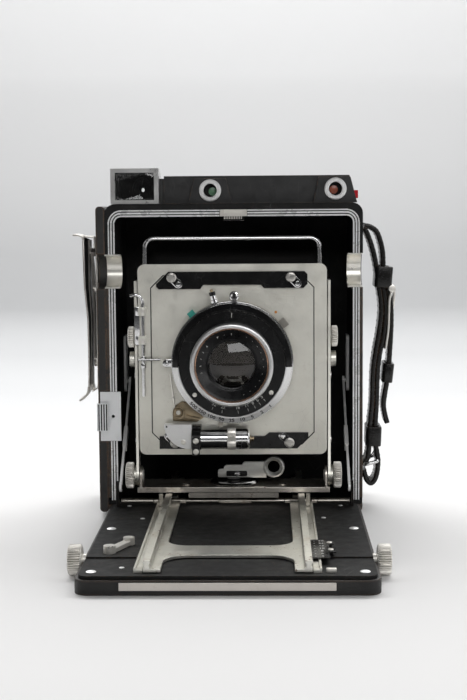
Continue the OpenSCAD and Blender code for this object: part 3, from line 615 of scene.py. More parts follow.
# ---- knobs ----
def knob(build, place, radius, width, ribs, depth, shaft, shaft_length, cup):
    """A ribbed knob with its inner face at local z 0, a cupped outer face and a screw in the cup."""
    bite = depth / radius
    rib = (1, 1, 1 - bite * 0.8, 1 - bite, 1 - bite * 0.8)
    back = place.inverted()

    def groove(middle):
        local = back @ middle
        return int(0.6 < local.z < width - 0.6 and cup + 1 < math.hypot(local.x, local.y) < radius - depth * 0.72)

    profile = [(0, 0), (radius - 1.3, 0), (radius - 0.25, 0.45), (radius, 0.9), (radius, width - 0.9),
               (radius - 0.25, width - 0.45), (radius - 1.3, width), (cup + 0.5, width), (cup, width - 0.4),
               (cup - 0.2, width - 1.3), (0, width - 1.3)]
    build.turn(profile, ribs * len(rib), place, lambda i, row: rib[i % len(rib)] if 2 <= row <= 5 else 1,
               finish=groove)
    build.add(rod(shaft, -shaft_length, 0.1), place, bevel=0.15)
    build.screw(place @ moved(0, 0, width - 1.32), cup * 0.62, 0.9, 35, finish=1)


KNOB_NICKEL = metal("knob_nickel", (0.9, 0.875, 0.82), 0.36, stain=0.05, tint=(0.5, 0.42, 0.3), share=0.4)
focus_knobs, tilt_knobs, rise_knobs = (Build(KNOB_NICKEL, DARK_NICKEL) for _ in range(3))
for side in (1, -1):
    focus_at = to_right(side * KNOB_INNER, FRONT - SHAFT_OUT, SHAFT_Z, side)
    knob(focus_knobs, focus_at, 8.8, KNOB_OUTER - KNOB_INNER, 38, 0.75, 3.3, 2.6, 4.8)
    tilt_at = to_right(STANDARD_X + side * 66.7, TILT_Y, TILT_Z, side)
    knob(tilt_knobs, tilt_at, 8.8, 5.5, 38, 0.7, 2.5, 6.2, 4.2)
    tilt_knobs.turn([(0, -6.4), (3.2, -6.4), (4.2, -5.8), (4.4, -5), (0, -5)], 32, tilt_at)
    rise_at = to_right(STANDARD_X + side * 65.3, TILT_Y, RISE_Z, side)
    knob(rise_knobs, rise_at, 7, 4.3, 32, 0.6, 2.2, 2.7, 3.4)
focus_knobs.piece("focus_knobs_ribbed", "pinion", "nickel", ["focus_knobs"])
tilt_knobs.piece("tilt_knobs_ribbed", "tilt_knobs", "nickel", ["tilt_knobs"])
rise_knobs.piece("rise_knobs_ribbed", "rise_knobs", "nickel", ["rise_knobs"])

# ---- wire finder: chromed rod, wound with fine wire at its two bends ----
WIRE_X, WIRE_Y, WIRE_FOOT, WIRE_TOP, WIRE_BEND, WIRE_R = 57.7, FRONT - 2.8, 58, 187.1, 6, 1.5
corner = quarter(0, 40)
bend = [polar(WIRE_BEND, a, WIRE_X - WIRE_BEND, WIRE_TOP - WIRE_BEND) for a in corner]
path = [(WIRE_X, WIRE_FOOT + 18 * i) for i in range(7)] + bend
path += [(-x, z) for x, z in path[::-1]]
wire = Build(CHROME)
wire.add(sweep([(STANDARD_X + x, WIRE_Y, z) for x, z in path], circle(WIRE_R, 20)))
winding = [(WIRE_R + r, z) for r, z in ((-0.4, -0.27), (0.12, -0.22), (0.34, 0), (0.12, 0.22), (-0.4, 0.27))]
for side in (1, -1):
    for (x, z), a in list(zip(bend, corner))[1:40:3]:
        wire.turn(winding, 20, turned((STANDARD_X + side * x, WIRE_Y, z), (math.cos(a) * side, 0, math.sin(a)),
                                      (0, 1, 0), (-math.sin(a) * side, 0, math.cos(a))))
wire.piece("wire_frame", "wire_finder", "chrome", ["wire_finder"])

# ---- slotted screws; each is (x, z, turn of the slot) ----
top_screws = ((-39.8, 161.6, 48), (38.6, 161.6, 20))
low_screws = ((37.4, 51.6, 10), (-38.6, 51.6, 75))
SCREW_OUT = 9.5
screws = Build(SCREW_STEEL)
for x, z, turn in top_screws + low_screws:
    screws.add(rod(1.9, PLATE_OUT, SCREW_OUT), STANDARD @ moved(x, z))
    screws.screw(STANDARD @ moved(x, z, SCREW_OUT), 3.3, 1.3, turn)
screws.piece("slider_screw_heads", "lens_frame", "chrome", ["slider_screws"])
small = Build(CHROME, DARK_NICKEL)
for x, turn in ((-32.5, 30), (32.5, 80)):
    small.screw(moved(STANDARD_X + x, FRONT + 8, 20), 3, 0.9, turn, finish=1)
small.piece("base_screws", "standard", "dark_nickel")
arm = Build(CHROME)
for side in (1, -1):
    for z in (53, 96):
        arm.screw(to_right(STANDARD_X + side * 64.8, FRONT - 2, z, side), 2.2, 0.9, 20 + z)
arm.piece("arm_screws", "arms", "chrome")

# ---- bed: rivets, screws, and the distance scale. Local y is minus the distance forward ----
BED, SCALE_TOP, SCALE_FIRST, SCALE_STEP = moved(0, FRONT), 14.1, 131.5, 6.1
rivets = Build(SATIN_CHROME)
for x, out in ((-74.8, 83), (74.8, 83), (-74.8, 187.7), (74.8, 187.7)):
    rivets.turn([(0, -0.3), (3, -0.3), (2.9, 0.15), (2.2, 0.55), (1.2, 0.8), (0, 0.88)], 28,
                BED @ moved(x, -out, BED_TOP))
for x, out in ((-58.8, 179), (-57.9, 55), (57.3, 53), (-70, 16), (70, 16)):
    rivets.screw(BED @ moved(x, -out, BED_TOP - 0.05), 1.5, 0.45, 40)
rivets.piece("bed_rivets", "bed", "chrome")
scale = Build(ENAMEL, NICKEL)
outline = [(46.7, 171), (46.7, 128), (55.5, 128), (55.5, 133), (60, 133), (60, 139), (57, 139), (57, 148),
           (60.5, 148), (60.5, 158), (56.5, 158), (56.5, 171)]
scale.add(prism([(x, -out) for x, out in outline], 13.3, SCALE_TOP), BED, bevel=0.15)
for out in (136, 153):
    scale.add(block((56, 59), (-out - 3, -out + 3), (BED_TOP - 0.1, 13.4)), BED, bevel=0.2)
scale.add(block((53.6, 59.2), (-190, -186.8), (BED_TOP - 0.1, 12.6)), BED, bevel=0.5, finish=1)
scale.screw(BED @ moved(57.6, -153, SCALE_TOP), 1.6, 0.6, 15, finish=1)
scale.screw(BED @ moved(57.4, -136, SCALE_TOP), 1.6, 0.6, 65, finish=1)
scale.piece("distance_scale", "bed", "black_enamel")
marks = []
for i, text in enumerate(("50", "25", "15", "10", "8", "6", "5")):
    out, level = SCALE_FIRST + SCALE_STEP * i, SCALE_TOP + 0.02
    marks += [(text, 2.3, BED @ moved(52.6, -out, level)), ("-", 2.6, BED @ moved(48.6, -out, level))]
lettering("distance_numbers", marks, WHITE_INK, "bed", "chrome")

# ---- rangefinder windows and viewfinder ----
GREEN_COAT = gloss("green_coating", (0.13, 0.26, 0.16), 0.25)
RED_COAT = gloss("red_coating", (0.34, 0.09, 0.05), 0.25)
windows = Build(SATIN_CHROME)
panes = Build(INSIDE, GREEN_COAT, RED_COAT, GLASS)
for x, z, coat, dx, dz in ((-15.4, 218.6, 1, 1.6, -0.8), (67.6, 219.2, 2, -1, -0.6)):
    windows.turn([(4.4, -2.4), (4.4, 1), (5, 1.5), (6.6, 1.5), (7.3, 1), (7.3, -0.1), (4.9, -0.1), (4.9, -2.4)],
                 48, AHEAD @ moved(x, z, -4.5))
    panes.add(rod(4.4, -10.4, -9.6, 32), AHEAD @ moved(x, z))
    panes.turn([(0, -9.6), (2.9, -9.6), (2.8, -9), (1.5, -8.7), (0, -8.6)], 28, AHEAD @ moved(x + dx, z + dz),
               finish=coat)
windows.piece("window_rings", "box", "nickel")
panes.pad((25.6, 17.8, 0.6), (-65.4, 221.5), (-4.6, -3.6), AHEAD, bevel=0.2, finish=3)
panes.piece("finder_panes", "box", "glass", ["finder_glasses"])
eyepiece = Build(ENAMEL).turn([(0.8, 0), (5, 0), (5, 7.2), (3.6, 7.2), (0.8, 1.4)], 40,
                              turned((-65.4, FRONT + 47.9, 220.6), (-1, 0, 0), (0, 0, 1), (0, 1, 0)))
eyepiece.piece("eyepiece_stop", "box", "black_enamel")
Build(CHROME).screw(to_right(-51.4, FRONT + 14, 220), 2, 1, 30).piece("finder_screw", "box", "chrome")

# ---- lens and shutter. Heights are measured forward of the front plane ----
BEZEL = metal("bezel_alloy", (0.7, 0.7, 0.7), 0.33)
LENS_BLACK = enamel("lens_black", (0.004, 0.004, 0.0045), 0.28)
front_cell = Build(BEZEL, COPPER, LENS_BLACK, NICKEL, HOLLOW)
front_cell.turn([(21.2, 13), (21.2, 26.2), (26.2, 26.2), (27, 26.9), (27, 36.2), (26.7, 36.9), (26.2, 37.2),
                 (25, 37.4), (24.3, 37.2), (23.9, 36.6), (23.8, 34), (20, 34), (20, 13)], 96, LENS)
front_cell.turn([(23.8, 35), (23.8, 36.1), (23.45, 36.4), (23.1, 36.1), (23.1, 35)], 96, LENS, finish=1)
name_ring = [(23.2, 34), (23.2, 35.7), (22.6, 35.5)]
name_ring += [(22.2 - 0.62 * k, 35.3 - 0.36 * k + (0.14 if k % 2 else -0.06)) for k in range(10)]
name_ring += [(16, 31.4), (15.3, 31.2), (15.2, 24), (20.2, 24), (20.2, 34)]
front_cell.turn(name_ring, 96, LENS, finish=2)
front_cell.turn([(16.6, 0), (16.6, 8), (12.2, 8), (12.2, -11), (18.4, -11), (18.4, 0)], 72, LENS, bevel=0.3, finish=3)
front_cell.turn([(15.2, 13), (15.2, 24.2), (13.4, 24.2), (13, 20), (11.6, 19.4), (11.2, 16), (10.4, 15.4),
                 (10.2, 13)], 64, LENS, finish=4)
front_cell.piece("lens_barrel", "lens_frame", "nickel", ["lens_cells"])


def dome(radius, base, rise, back, rings=7):
    """A lens of a given radius, bulging forward by rise from its edge at base, with its back face at back."""
    radii = [radius * math.cos(a) for a in quarter(0, rings)[:rings]]
    return lathe([(0, back), (radius, back)] + [(r, base + rise * (1 - (r / radius) ** 2)) for r in radii]
                 + [(0, base + rise)], 72)


glasses = Build(LENS_GLASS, INNER_GLASS)
glasses.add(dome(15.1, 30.6, 3, 27.5), LENS)
glasses.add(dome(12.1, -8.8, -1.6, -4), LENS)
# The inner element takes the opaque near-black gloss: painted shade of the lens interior.
glasses.add(dome(12.9, 20.6, 3.2, 19.8), LENS, finish=1)
glasses.piece("lens_elements", "lens_frame", "glass", ["lens_glass"])

blades = Build(HOLLOW)
leaf = [(0.2, -0.3), (20.4, -3), (20.4, 8), (12, 13), (4, 7.6)]
for k in range(5):
    blades.add(prism(leaf, 9.1 + 0.16 * k, 9.22 + 0.16 * k), LENS @ Matrix.Rotation(math.radians(72 * k), 4, "Z"),
               bevel=0.03)
blades.turn([(17, 9), (20.8, 9), (20.8, 10), (17, 10)], 64, LENS)
blades.piece("shutter_leaves", "lens_frame", "black_enamel", ["shutter_blades"])


def ribbed(scale):
    """Every second step of a profile's third and fourth points is drawn in by a scale."""
    return lambda i, row: scale if i % 2 and row in (2, 3) else 1


# The speed ring is satin chrome on its lower half and black on its upper half: the black is a painted reflection of
# the dark room above
speed = Build(SATIN_CHROME, ENAMEL)
speed.turn([(34.9, 19.9), (38.9, 19.9), (39.3, 20.3), (39.3, 23.6), (38.9, 24), (38.7, 24.4), (35.6, 26.5),
            (34.9, 26.6)], 300, LENS, ribbed(0.9915), finish=lambda c: int(c.z > LENS_Z - 2.2))
speed.piece("speed_ring_polished", "speed_ring", "chrome", ["speed_ring"], smooth=18)


def around(text, size, radius, out, angle, tilt=0):
    """Text on the lens face, its foot towards the rim, at an angle above the right."""
    a = math.radians(angle)
    place = LENS @ moved(*polar(radius, a), out) @ Matrix.Rotation(a + math.pi / 2, 4, "Z")
    return text, size, place @ Matrix.Rotation(math.radians(tilt), 4, "X")


SPEED_FIRST, SPEED_STEP, NAME_STEP = 227, 10.6, 13
FACE_OUT, NAME_R, NAME_OUT = 26.22, 20.4, 34.55
speeds = [around(text, 2.7, 37.15, 25.52, SPEED_FIRST + SPEED_STEP * i, 34)
          for i, text in enumerate(("500", "250", "100", "50", "25", "10", "5", "2", "1"))]
lettering("speed_numbers", speeds, BLACK_INK, "speed_ring", "black_enamel", 0.07)
stops = list(zip(("32", "22", "16", "11", "8", "6", "5"), (246, 258, 277, 289, 297.5, 304.5, 311.5)))
words = [around(text, 2.1, 28.9, FACE_OUT, angle) for text, angle in stops]
words += [around("|", 1.5, 31.6, FACE_OUT, angle) for _, angle in stops]
words += [around("|", 2.3, 31.6, FACE_OUT + 0.02, 90)]
words += [around(text, 1.7, NAME_R, NAME_OUT, 90 + NAME_STEP * i, 30) for i, text in enumerate("1:4.7/135")]
words += [around("-", 1.5, NAME_R, NAME_OUT, 62 - NAME_STEP * i, 30) for i in range(11)]
lettering("aperture_numbers", words, WHITE_INK, "lens_frame", "black_enamel", 0.03)
face_screws = Build(NICKEL, ORANGE_INK)
for x, y in ((-24.4, -20.2), (25.4, -18.9)):
    face_screws.screw(LENS @ moved(x, y, 26.15), 1.5, 0.5, 60)
face_screws.turn([(0, 0), (0.9, 0), (0.8, 0.12), (0, 0.15)], 20, LENS @ moved(28.7, 32.2, PLATE_OUT), finish=1)
face_screws.piece("shutter_face_screws", "lens_frame", "nickel")

# ---- solenoid with its clamp, cover and link ----
along = to_right(STANDARD_X, FRONT - 17.1, 55.6)
unit = Build(CHROME, ENAMEL, BRASS, NICKEL, SATIN_CHROME)
unit.turn([(0, -21), (6.4, -21), (6.4, -3.4), (6.4, 2), (6.9, 2.2), (6.9, 9.2), (6.6, 10.2), (5.9, 11),
           (4.8, 11.4), (0, 11.4)], 64, along)
unit.turn([(6.3, -3.5), (7.1, -3.5), (7.3, -3.2), (7.3, 1.8), (7.1, 2.1), (6.3, 2.1)], 128, along, ribbed(0.965),
          finish=3)
unit.turn([(0, 11.2), (2.6, 11.2), (2.6, 11.9), (1.6, 12.2), (1.6, 13.6), (1.3, 13.9), (0, 13.9)], 32, along,
          finish=2)
unit.turn([(6.3, -27), (7, -27), (7.3, -26.7), (7.3, -21.2), (7, -20.9), (6.3, -20.9)], 56, along, finish=1)
unit.pad((6.1, 6.4, 0.5), (-23.95, 61), (PLATE_OUT, 17), STANDARD, bevel=0.3, finish=1)
unit.pad((5, 12.4, 0.6), (-23.95, 52), (23, 26.2), STANDARD, bevel=0.3, finish=1)
unit.screw(STANDARD @ moved(-23.95, 55.6, 26.2), 1.9, 1, 30, finish=3)
unit.screw(STANDARD @ moved(-23.95, 48.5, 26.2), 1.9, 1, 120, finish=3)
quadrant = [(-26.9, 49.3), (-26.9, 65.7)] + [polar(16.4, math.radians(a), -28.6, 65.7) for a in range(180, 271, 9)]
unit.add(prism(quadrant, 14, 20.6), STANDARD, bevel=0.5, steps=3, finish=4)
unit.screw(STANDARD @ moved(-32.5, 54, 20.6), 1.7, 0.6, 10, finish=3)
bracket = [(-40, 66.4), (-24, 65.6), (-19.6, 68.4), (-22, 71.2), (-26.6, 74), (-29.6, 79), (-34, 79.4),
           (-38.4, 76.4), (-40, 72)]
unit.add(prism(bracket, 8, 9), STANDARD, bevel=0.3, finish=2)
unit.pad((7.6, 9, 3.4), (-36.1, 71.6), (9, 10.6), STANDARD, bevel=0.4, finish=2)
unit.add(prism([(-32, 68.6), (-22.6, 67), (-21.4, 68.2), (-31.4, 70.4)], 9, 11.4), STANDARD, bevel=0.3, finish=2)
unit.turn([(0, 10.6), (3.1, 10.6), (3.1, 11.6), (2.4, 12.4), (1.9, 12.4), (1.9, 11.6), (0, 11.6)], 36,
          STANDARD @ moved(-36.1, 72.3), finish=2)
unit.screw(STANDARD @ moved(-36.1, 72.3, 11.6), 1.5, 1.2, 50, finish=3)
unit.add(rod(0.6, 20.4, 20.75, 16), STANDARD @ moved(-43.4, 64.2), finish=1)
unit.add(sweep([(-38.6, 75.5, 11), (-39.2, 83, 12.5), (-40.2, 91, 13.2), (-41, 98, 13.6)], circle(0.5, 8),
               up=(1, 0, 0.3)), STANDARD, finish=3)
unit.piece("solenoid_unit", "lens_frame", "chrome", ["solenoid"])

# ---- carrying strap: three runs of (x, z) points, each with its width ----
STRAP_W, STRAP_T = 19, 3.3
RUNS = (
    (STRAP_W, ((88.4, 192.5), (91, 188), (94.4, 178), (97, 166), (98.8, 152), (100.6, 137), (98.8, 119), (96.8, 108),
               (95, 93), (94.4, 72), (93, 57), (92.4, 43), (91.4, 34), (88.6, 28))),
    (STRAP_W, ((88.6, 194.2), (93, 193.2), (97.6, 189.2), (101, 178), (101.7, 166), (101.9, 152), (103.6, 137),
               (102.4, 119), (99.8, 108), (98, 93), (97.4, 72), (96.6, 57), (96.9, 43), (98.6, 31), (97.2, 20),
               (93.8, 15.4), (90.4, 18.4), (88.6, 25))),
    (STRAP_W - 2, ((104.4, 162), (105.2, 151), (107, 140), (107.4, 128), (106.9, 115), (106, 100), (104.8, 88),
                   (103.2, 78), (102.3, 70), (103.6, 62), (104.9, 57.6))),
)


def in_plane(points, steps):
    """A smooth path through (x, z) points in the plane y = 0."""
    return smooth_path([(x, 0, z) for x, z in points], steps)


strap = Build(STRAP, THREAD)
stitch = [(0, -0.7), (0.16, -0.5), (0.2, 0), (0.16, 0.5), (0, 0.7)]
for width, run in RUNS:
    line = in_plane(run, 7)
    strap.add(sweep(line, rounded_box(STRAP_T, width, 1.1, 4)))
    for a, b in zip(line[::2], line[1::2]):
        middle, way = (a + b) / 2, (b - a).normalized()
        out_of = way.cross(Vector((0, 1, 0)))
        for y in (-width / 2 + 1.9, width / 2 - 1.9):
            for side in (1, -1):
                at = middle + out_of * side * (STRAP_T / 2) + Vector((0, y, 0))
                strap.turn(stitch, 6, turned(at, out_of, way.cross(out_of), way), finish=1)
# Leather loops round the strap: (low x, high x, z, depth, height, lean in degrees)
for low, high, z, depth, height, lean in ((96, 107.8, 159, 22.5, 14.6, 4), (101.4, 108.8, 92.8, 21, 13.4, 6),
                                          (90, 100.6, 48.6, 22.5, 13.6, 2)):
    band = [(a, b, 0) for a, b in rounded_box(high - low - 1.6, depth, 1.6, 5)]
    strap.add(sweep(band, rounded_box(1.7, height, 0.7, 3), closed=True, up=(0, 0, 1)),
              moved((low + high) / 2, 0, z) @ Matrix.Rotation(math.radians(lean), 4, "Y"))
strap.piece("carrying_strap", "box", "strap_leather", ["handle_strap"])

fittings = Build(NICKEL, CHROME)
for z in (28, 184):
    fittings.pad((22, 12, 2), (0, z), (0, 1.5), to_right(SIDE, 0, 0), bevel=0.3)
    for y in (-8.2, 8.2):
        fittings.screw(to_right(SIDE + 1.5, y, z), 1.7, 0.7, 30 + y)
tongue = in_plane([(107.9, 151.4), (106, 144), (105.6, 136), (105.2, 124), (104, 114), (103.2, 109.5)], 6)
fittings.add(sweep(tongue, rounded_box(1.5, 21.4, 0.6, 3)))
fittings.add(rod(2.5, -12.2, 12.2, 28), turned((107.6, 0, 151), (1, 0, 0), (0, 0, -1), (0, 1, 0)), bevel=0.6)
fittings.add(sweep(in_plane([(107.6, 153.4), (109.8, 150.6), (109.6, 143), (108.9, 137)], 5), circle(1.1, 12)))
frame_ring = [(93.6 + a, b, 30.4 + 0.25 * a) for a, b in rounded_box(8.6, 23.4, 2, 5)]
fittings.add(sweep(frame_ring, circle(1.25, 12), closed=True, up=(0, 0, 1)), finish=1)
fittings.add(sweep(in_plane([(90.6, 30), (94.6, 33.4), (98.4, 39.5)], 5), circle(0.9, 10)), finish=1)
fittings.piece("strap_metalwork", "box", "nickel", ["strap_hardware"])

# ---- clamp under the lens: a polished disc, and a stepped lever with a finger ring ----
SATIN = metal("satin_nickel", (0.66, 0.66, 0.63), 0.38, stain=0.1, tint=(0.32, 0.28, 0.22))
CLAMP_Y = FRONT + 11.4
clamp = Build(SATIN, CHROME, ENAMEL)
face_on, flat_on = forward(STANDARD_X, CLAMP_Y, 0), moved(STANDARD_X, CLAMP_Y, RAIL_TOP + 3)
lever = [(-11, 24.6), (22, 24.2), (22, 35.4), (7.2, 35.4), (5.6, 34), (5.6, 33.2), (-5.4, 33.2), (-7, 31.9),
         (-7, 30.4), (-9.8, 30.4), (-11, 29.4)]
clamp.add(prism(lever, -1.3, 1.2), face_on, bevel=0.5, steps=3)
clamp.turn([(4.1, -1.4), (7.3, -1.4), (7.5, -0.9), (7.5, 0.9), (7, 1.6), (6.1, 1.8), (4.6, 0.7), (4.1, 0.2)], 56,
           face_on @ moved(27, 31.6))
clamp.add(block((5.8, 20), (25, 25.5), (1.1, 1.45)), face_on, bevel=0.15)
clamp.add(block((6, 20.4), (32.6, 33.1), (1.1, 1.45)), face_on, bevel=0.15)
clamp.pad((14.2, 3.8, 0.8), (1.8, 27.2), (1, 1.5), face_on, bevel=0.15, finish=2)
clamp.screw(face_on @ moved(2.2, 27, 1.4), 1.9, 1.2, 5, finish=1)
clamp.turn([(0, 0), (15.7, 0), (16.3, 0.4), (16.3, 1.1), (15.6, 1.9), (14.6, 2.4), (13.4, 2.4), (13, 1.8),
            (0, 1.8)], 80, flat_on, finish=1)
clamp.add(rod(12.4, 1.5, 2, 56), flat_on, bevel=0.1, finish=2)
clamp.add(rod(5, 1.4, 4, 40), flat_on, finish=2)
clamp.piece("clamp_with_ring", "clamp", "nickel", ["clamp_lever"])

# ---- rims and ends of the sliders' slots ----
for name, screws_at, way in (("top", top_screws, (1, -1)), ("bottom", low_screws, (-1, 1))):
    rims = Build(CHROME, ENAMEL)
    for x, z, _ in screws_at:
        far = (x + way[0] * 4.4, z + way[1] * 4.4)
        rims.add(prism(capsule((x, z), far, 2.7), 8.6, 9.38), STANDARD, bevel=0.12)
        rims.add(prism(capsule((x, z), far, 2.15), 9.3, 9.42), STANDARD, finish=1)
        rims.add(rod(1.65, 8.6, 9.48, 28), STANDARD @ moved(*far), bevel=0.15)
    rims.piece(name + "_slot_rims", name + "_slider", "chrome")

# ---- flash bracket: a channel, an inner bar on two posts, and a hook at each end ----
WORN_STEEL = metal("worn_steel", (0.66, 0.63, 0.58), 0.32, (1, 1, 0.06), stain=0.7, spots=0.7, worn=0.8,
                   tint=(0.1, 0.07, 0.05))
# Dark steel for the inner strips and the top nut: stained steel, darkened further as painted shade between the bars.
DARK_STEEL = metal("dark_steel", (0.16, 0.15, 0.14), 0.36, stain=0.6, worn=0.7, tint=(0.06, 0.04, 0.03))
bars = Build(WORN_STEEL, DARK_STEEL, CHROME, INSIDE)


def strip(path, thick, near, far, finish=0):
    """A strip of metal bent along (x, z) points; near and far are behind the front plane."""
    section = [(thick / 2, near), (thick / 2, far), (-thick / 2, far), (-thick / 2, near)]
    bars.add(sweep([(x, FRONT, z) for x, z in path], section), bevel=min(0.35, thick / 3), finish=finish)


def hook(*points):
    return [(p.x, p.z) for p in in_plane(points, 4)]


outer = [(-101.8, 187.6), (-101.2, 155.4), (-99.2, 132), (-99, 100.5), (-99.4, 85)]
inner = [(-98, 186), (-98.2, 155.4), (-96.8, 132), (-97.6, 100.5), (-97.8, 87)]
strip(outer, 1.2, 14, 30)
strip(inner, 0.9, 15, 29, 1)
# A matt black web between the outer and inner strips: painted shade in the channel.
bars.add(prism(outer + inner[::-1], -26, -22), AHEAD, finish=3)
strip(hook((-108.6, 189.4), (-105, 189.2), (-102.4, 188.2), (-101.6, 186)), 1.3, 13, 31)
strip([(-101.8, 188.2), (-95.2, 188), (-94.2, 187), (-94.2, 180.5)], 1.1, 15, 29)
strip(hook((-99.4, 87), (-100.4, 82), (-103, 78.8), (-106, 77)), 1.3, 13, 31)
strip([(-98, 88.5), (-96.8, 83.2), (-93.6, 85.6), (-92.6, 90.5)], 1.1, 15, 29)
strip([(-97, 180.5), (-95.8, 162), (-95.2, 142), (-95.2, 106)], 1.3, 16, 28, 1)
strip([(-92.9, 186.5), (-92.9, 84.5)], 1.2, 14, 30)
for z, x, finish in ((177.7, -96.6, 1), (153.9, -94.6, 0), (106, -94.4, 0)):
    nut_at = to_right(x, FRONT + 17.4, z)
    bars.add(prism(circle(3.2, 6), 0, 3), nut_at, bevel=0.4, finish=finish)
    bars.add(rod(1.6, -1.2, 4.2, 24), nut_at, bevel=0.3)
for z in (102.5, 153):
    bars.add(rod(2.8, -2.5, 2.6, 28), to_right(-93.5, FRONT + 22, z), bevel=0.3)
bars.piece("flash_bracket_bars", "box", "dark_nickel", ["flash_bracket"])

# ---- release linkage beside the plate ----
LINK_X, LINK_Y, ARM_Y = STANDARD_X - 59, FRONT - 9.6, FRONT - 10.8
linkage = Build(CHROME)
bend = in_plane([(-67.4, 149.6), (-63.4, 150.4), (-60.4, 149), (-59, 145.6), (-59, 142)], 6)
bend = [(p.x, p.z) for p in bend] + [(-59, 118), (-59, 83)]
linkage.add(sweep([(STANDARD_X + x, LINK_Y, z) for x, z in bend], circle(1.1, 16)))
linkage.add(sweep([(STANDARD_X - 62.4, ARM_Y, 107.4), (STANDARD_X - 47.6, ARM_Y, 107.6)], circle(0.75, 14),
                  up=(0, 0, 1)))
linkage.add(rod(2.1, -0.8, 0.8, 6), moved(LINK_X, LINK_Y, 108.8), bevel=0.25)
linkage.add(rod(1.8, -1.6, 1.6, 24), moved(LINK_X, LINK_Y, 103.4), bevel=0.3)
linkage.piece("release_linkage", "release_rod", "chrome", ["release_rod"])
clips = Build(CHROME, NICKEL)
clips.add(block((-64.6, -61.2), (118, 142.4), (7.3, 9.8)), STANDARD, bevel=0.4)
for z in (139.4, 120.2):
    clips.pad((7, 5.6, 0.5), (-60.4, z), (7.4, 10.6), STANDARD, bevel=0.35)
    clips.pad((2.6, 4, 0.9), (-59, z), (10.4, 11.6), STANDARD, bevel=0.35, finish=1)
clips.piece("linkage_clips", "lens_frame", "chrome")


# ---- small levers and posts of the shutter ----
def spoke(angle, out):
    """Local z points away from the lens axis, at an angle above the right and a distance forward."""
    right, up = polar(1, math.radians(angle))
    return turned((STANDARD_X, FRONT - out, LENS_Z), (up, 0, -right), (0, 1, 0), (right, 0, up))


post = Build(CHROME, BRASS)
post.turn([(0, 36), (2.1, 36), (2.1, 40.6), (2.7, 40.8), (2.7, 42.4), (2.2, 42.7), (2.2, 45.4), (1.6, 46.2),
           (0, 46.2)], 32, spoke(106, 14))
post.turn([(0, 46), (1, 46), (1, 49.2), (0.7, 49.8), (0, 49.8)], 20, spoke(106, 14), finish=1)
post.piece("flash_post", "lens_frame", "chrome")
cocking = Build(CHROME, INSIDE)
cocking.add(block((38.4, 42.6), (-1.7, 1.7), (-0.7, 0.7)),
            spoke(87.5, 17.5) @ turned((0, 0, 0), (0, 0, 1), (1, 0, 0), (0, 1, 0)), bevel=0.25)
cocking.turn([(38.35, 16.9), (40, 16.9), (40, 18.1), (38.35, 18.1)], 96, LENS, bevel=0.15)
tip = LENS @ moved(1.6, 43.6)
cocking.turn([(1.2, 16.9), (3.2, 16.9), (3.4, 17.2), (3.4, 20.8), (3, 21.6), (2.2, 21.9), (1.2, 21.2)], 40, tip,
             ribbed(0.96))
cocking.add(rod(1.3, 17, 20.9, 20), tip, finish=1)
cocking.piece("cocking_knob", "cocking_lever", "chrome", ["cocking_lever"])
tab = Build(CHROME)
tab.add(prism(capsule((37.6, 0), (43.6, 0), 2.5), -0.7, 0.7),
        turned((STANDARD_X, FRONT - 13.8, LENS_Z), (-1, 0, -0.0175), (0.0175, 0, -1), (0, -1, 0)), bevel=0.35)
tab.screw(forward(STANDARD_X - 43.4, FRONT - 14.4, LENS_Z - 0.8), 1.5, 0.7, 20)
tab.piece("release_tab", "release_lever", "chrome", ["release_lever"])

# ---- ridges on the latch and the release pad, and a black band round the lens board: painted shade in its gap ----
ridges = Build(NICKEL)
for i in range(11):
    ridges.add(block((-6.2 + 1.12 * i, -5.7 + 1.12 * i), (199.6, 205), (-0.3, 0.28)), AHEAD, bevel=0.12)
ridges.piece("latch_ridges", "box", "nickel")
grooves = Build(INSIDE)
for i in range(4):
    grooves.add(block((-91 + 1.7 * i, -90.2 + 1.7 * i), (59.4, 77), (4.6, 5.24)), AHEAD)
grooves.piece("pad_grooves", "release_pad", "black_enamel")
# A thin black band laid over the seam round the lens board: painted shade of the gap between board and frame
rims = clipped(53.55, 50.45, 162.55, 8.05) + clipped(54.15, 49.85, 163.15, 8.3)
corners = [(x, z, PLATE_OUT + out) for out in (-0.3, 0.03) for x, z in rims]
sides = []
for i in range(8):
    j = (i + 1) % 8
    sides += [[a + i, a + j, b + j, b + i] for a, b in ((0, 8), (16, 24), (0, 16), (8, 24))]
Build(INSIDE).add(part_of(corners, sides), STANDARD).piece("board_gap_painted_shade", "lens_frame", "black_enamel")


# ---- the CAD nodes that keep their shape; angles are in degrees ----
FLAT_WITHIN, SHARP_OVER = 0.6, 30


def dress(material, bevel, steps, nodes):
    """Gives CAD nodes a finish, and rounds their sharp edges by a radius in mm."""
    for name in nodes.split():
        node = NODES[name]
        mesh = node.data
        mesh.materials.clear()
        mesh.materials.append(material)
        if "custom_normal" in mesh.attributes:
            mesh.attributes.remove(mesh.attributes["custom_normal"])
        mesh.polygons.foreach_set("use_smooth", [True] * len(mesh.polygons))
        settle(node.modifiers.new("weld", "WELD"), merge_threshold=1e-6)
        settle(node.modifiers.new("flat", "DECIMATE"), decimate_type="DISSOLVE", angle_limit=math.radians(FLAT_WITHIN),
               delimit={"MATERIAL"})
        settle(node.modifiers.new("edge", "BEVEL"), width=bevel * MM, segments=steps, limit_method="ANGLE",
               angle_limit=math.radians(SHARP_OVER), harden_normals=True, miter_outer="MITER_ARC")


def paint(node, test):
    """Blackens the faces of a CAD node whose middle passes a test, which takes x, y and z in mm."""
    mesh = NODES[node].data
    mesh.materials.append(INSIDE)
    for face in mesh.polygons:
        if test(*(face.center / MM)):
            face.material_index = 1


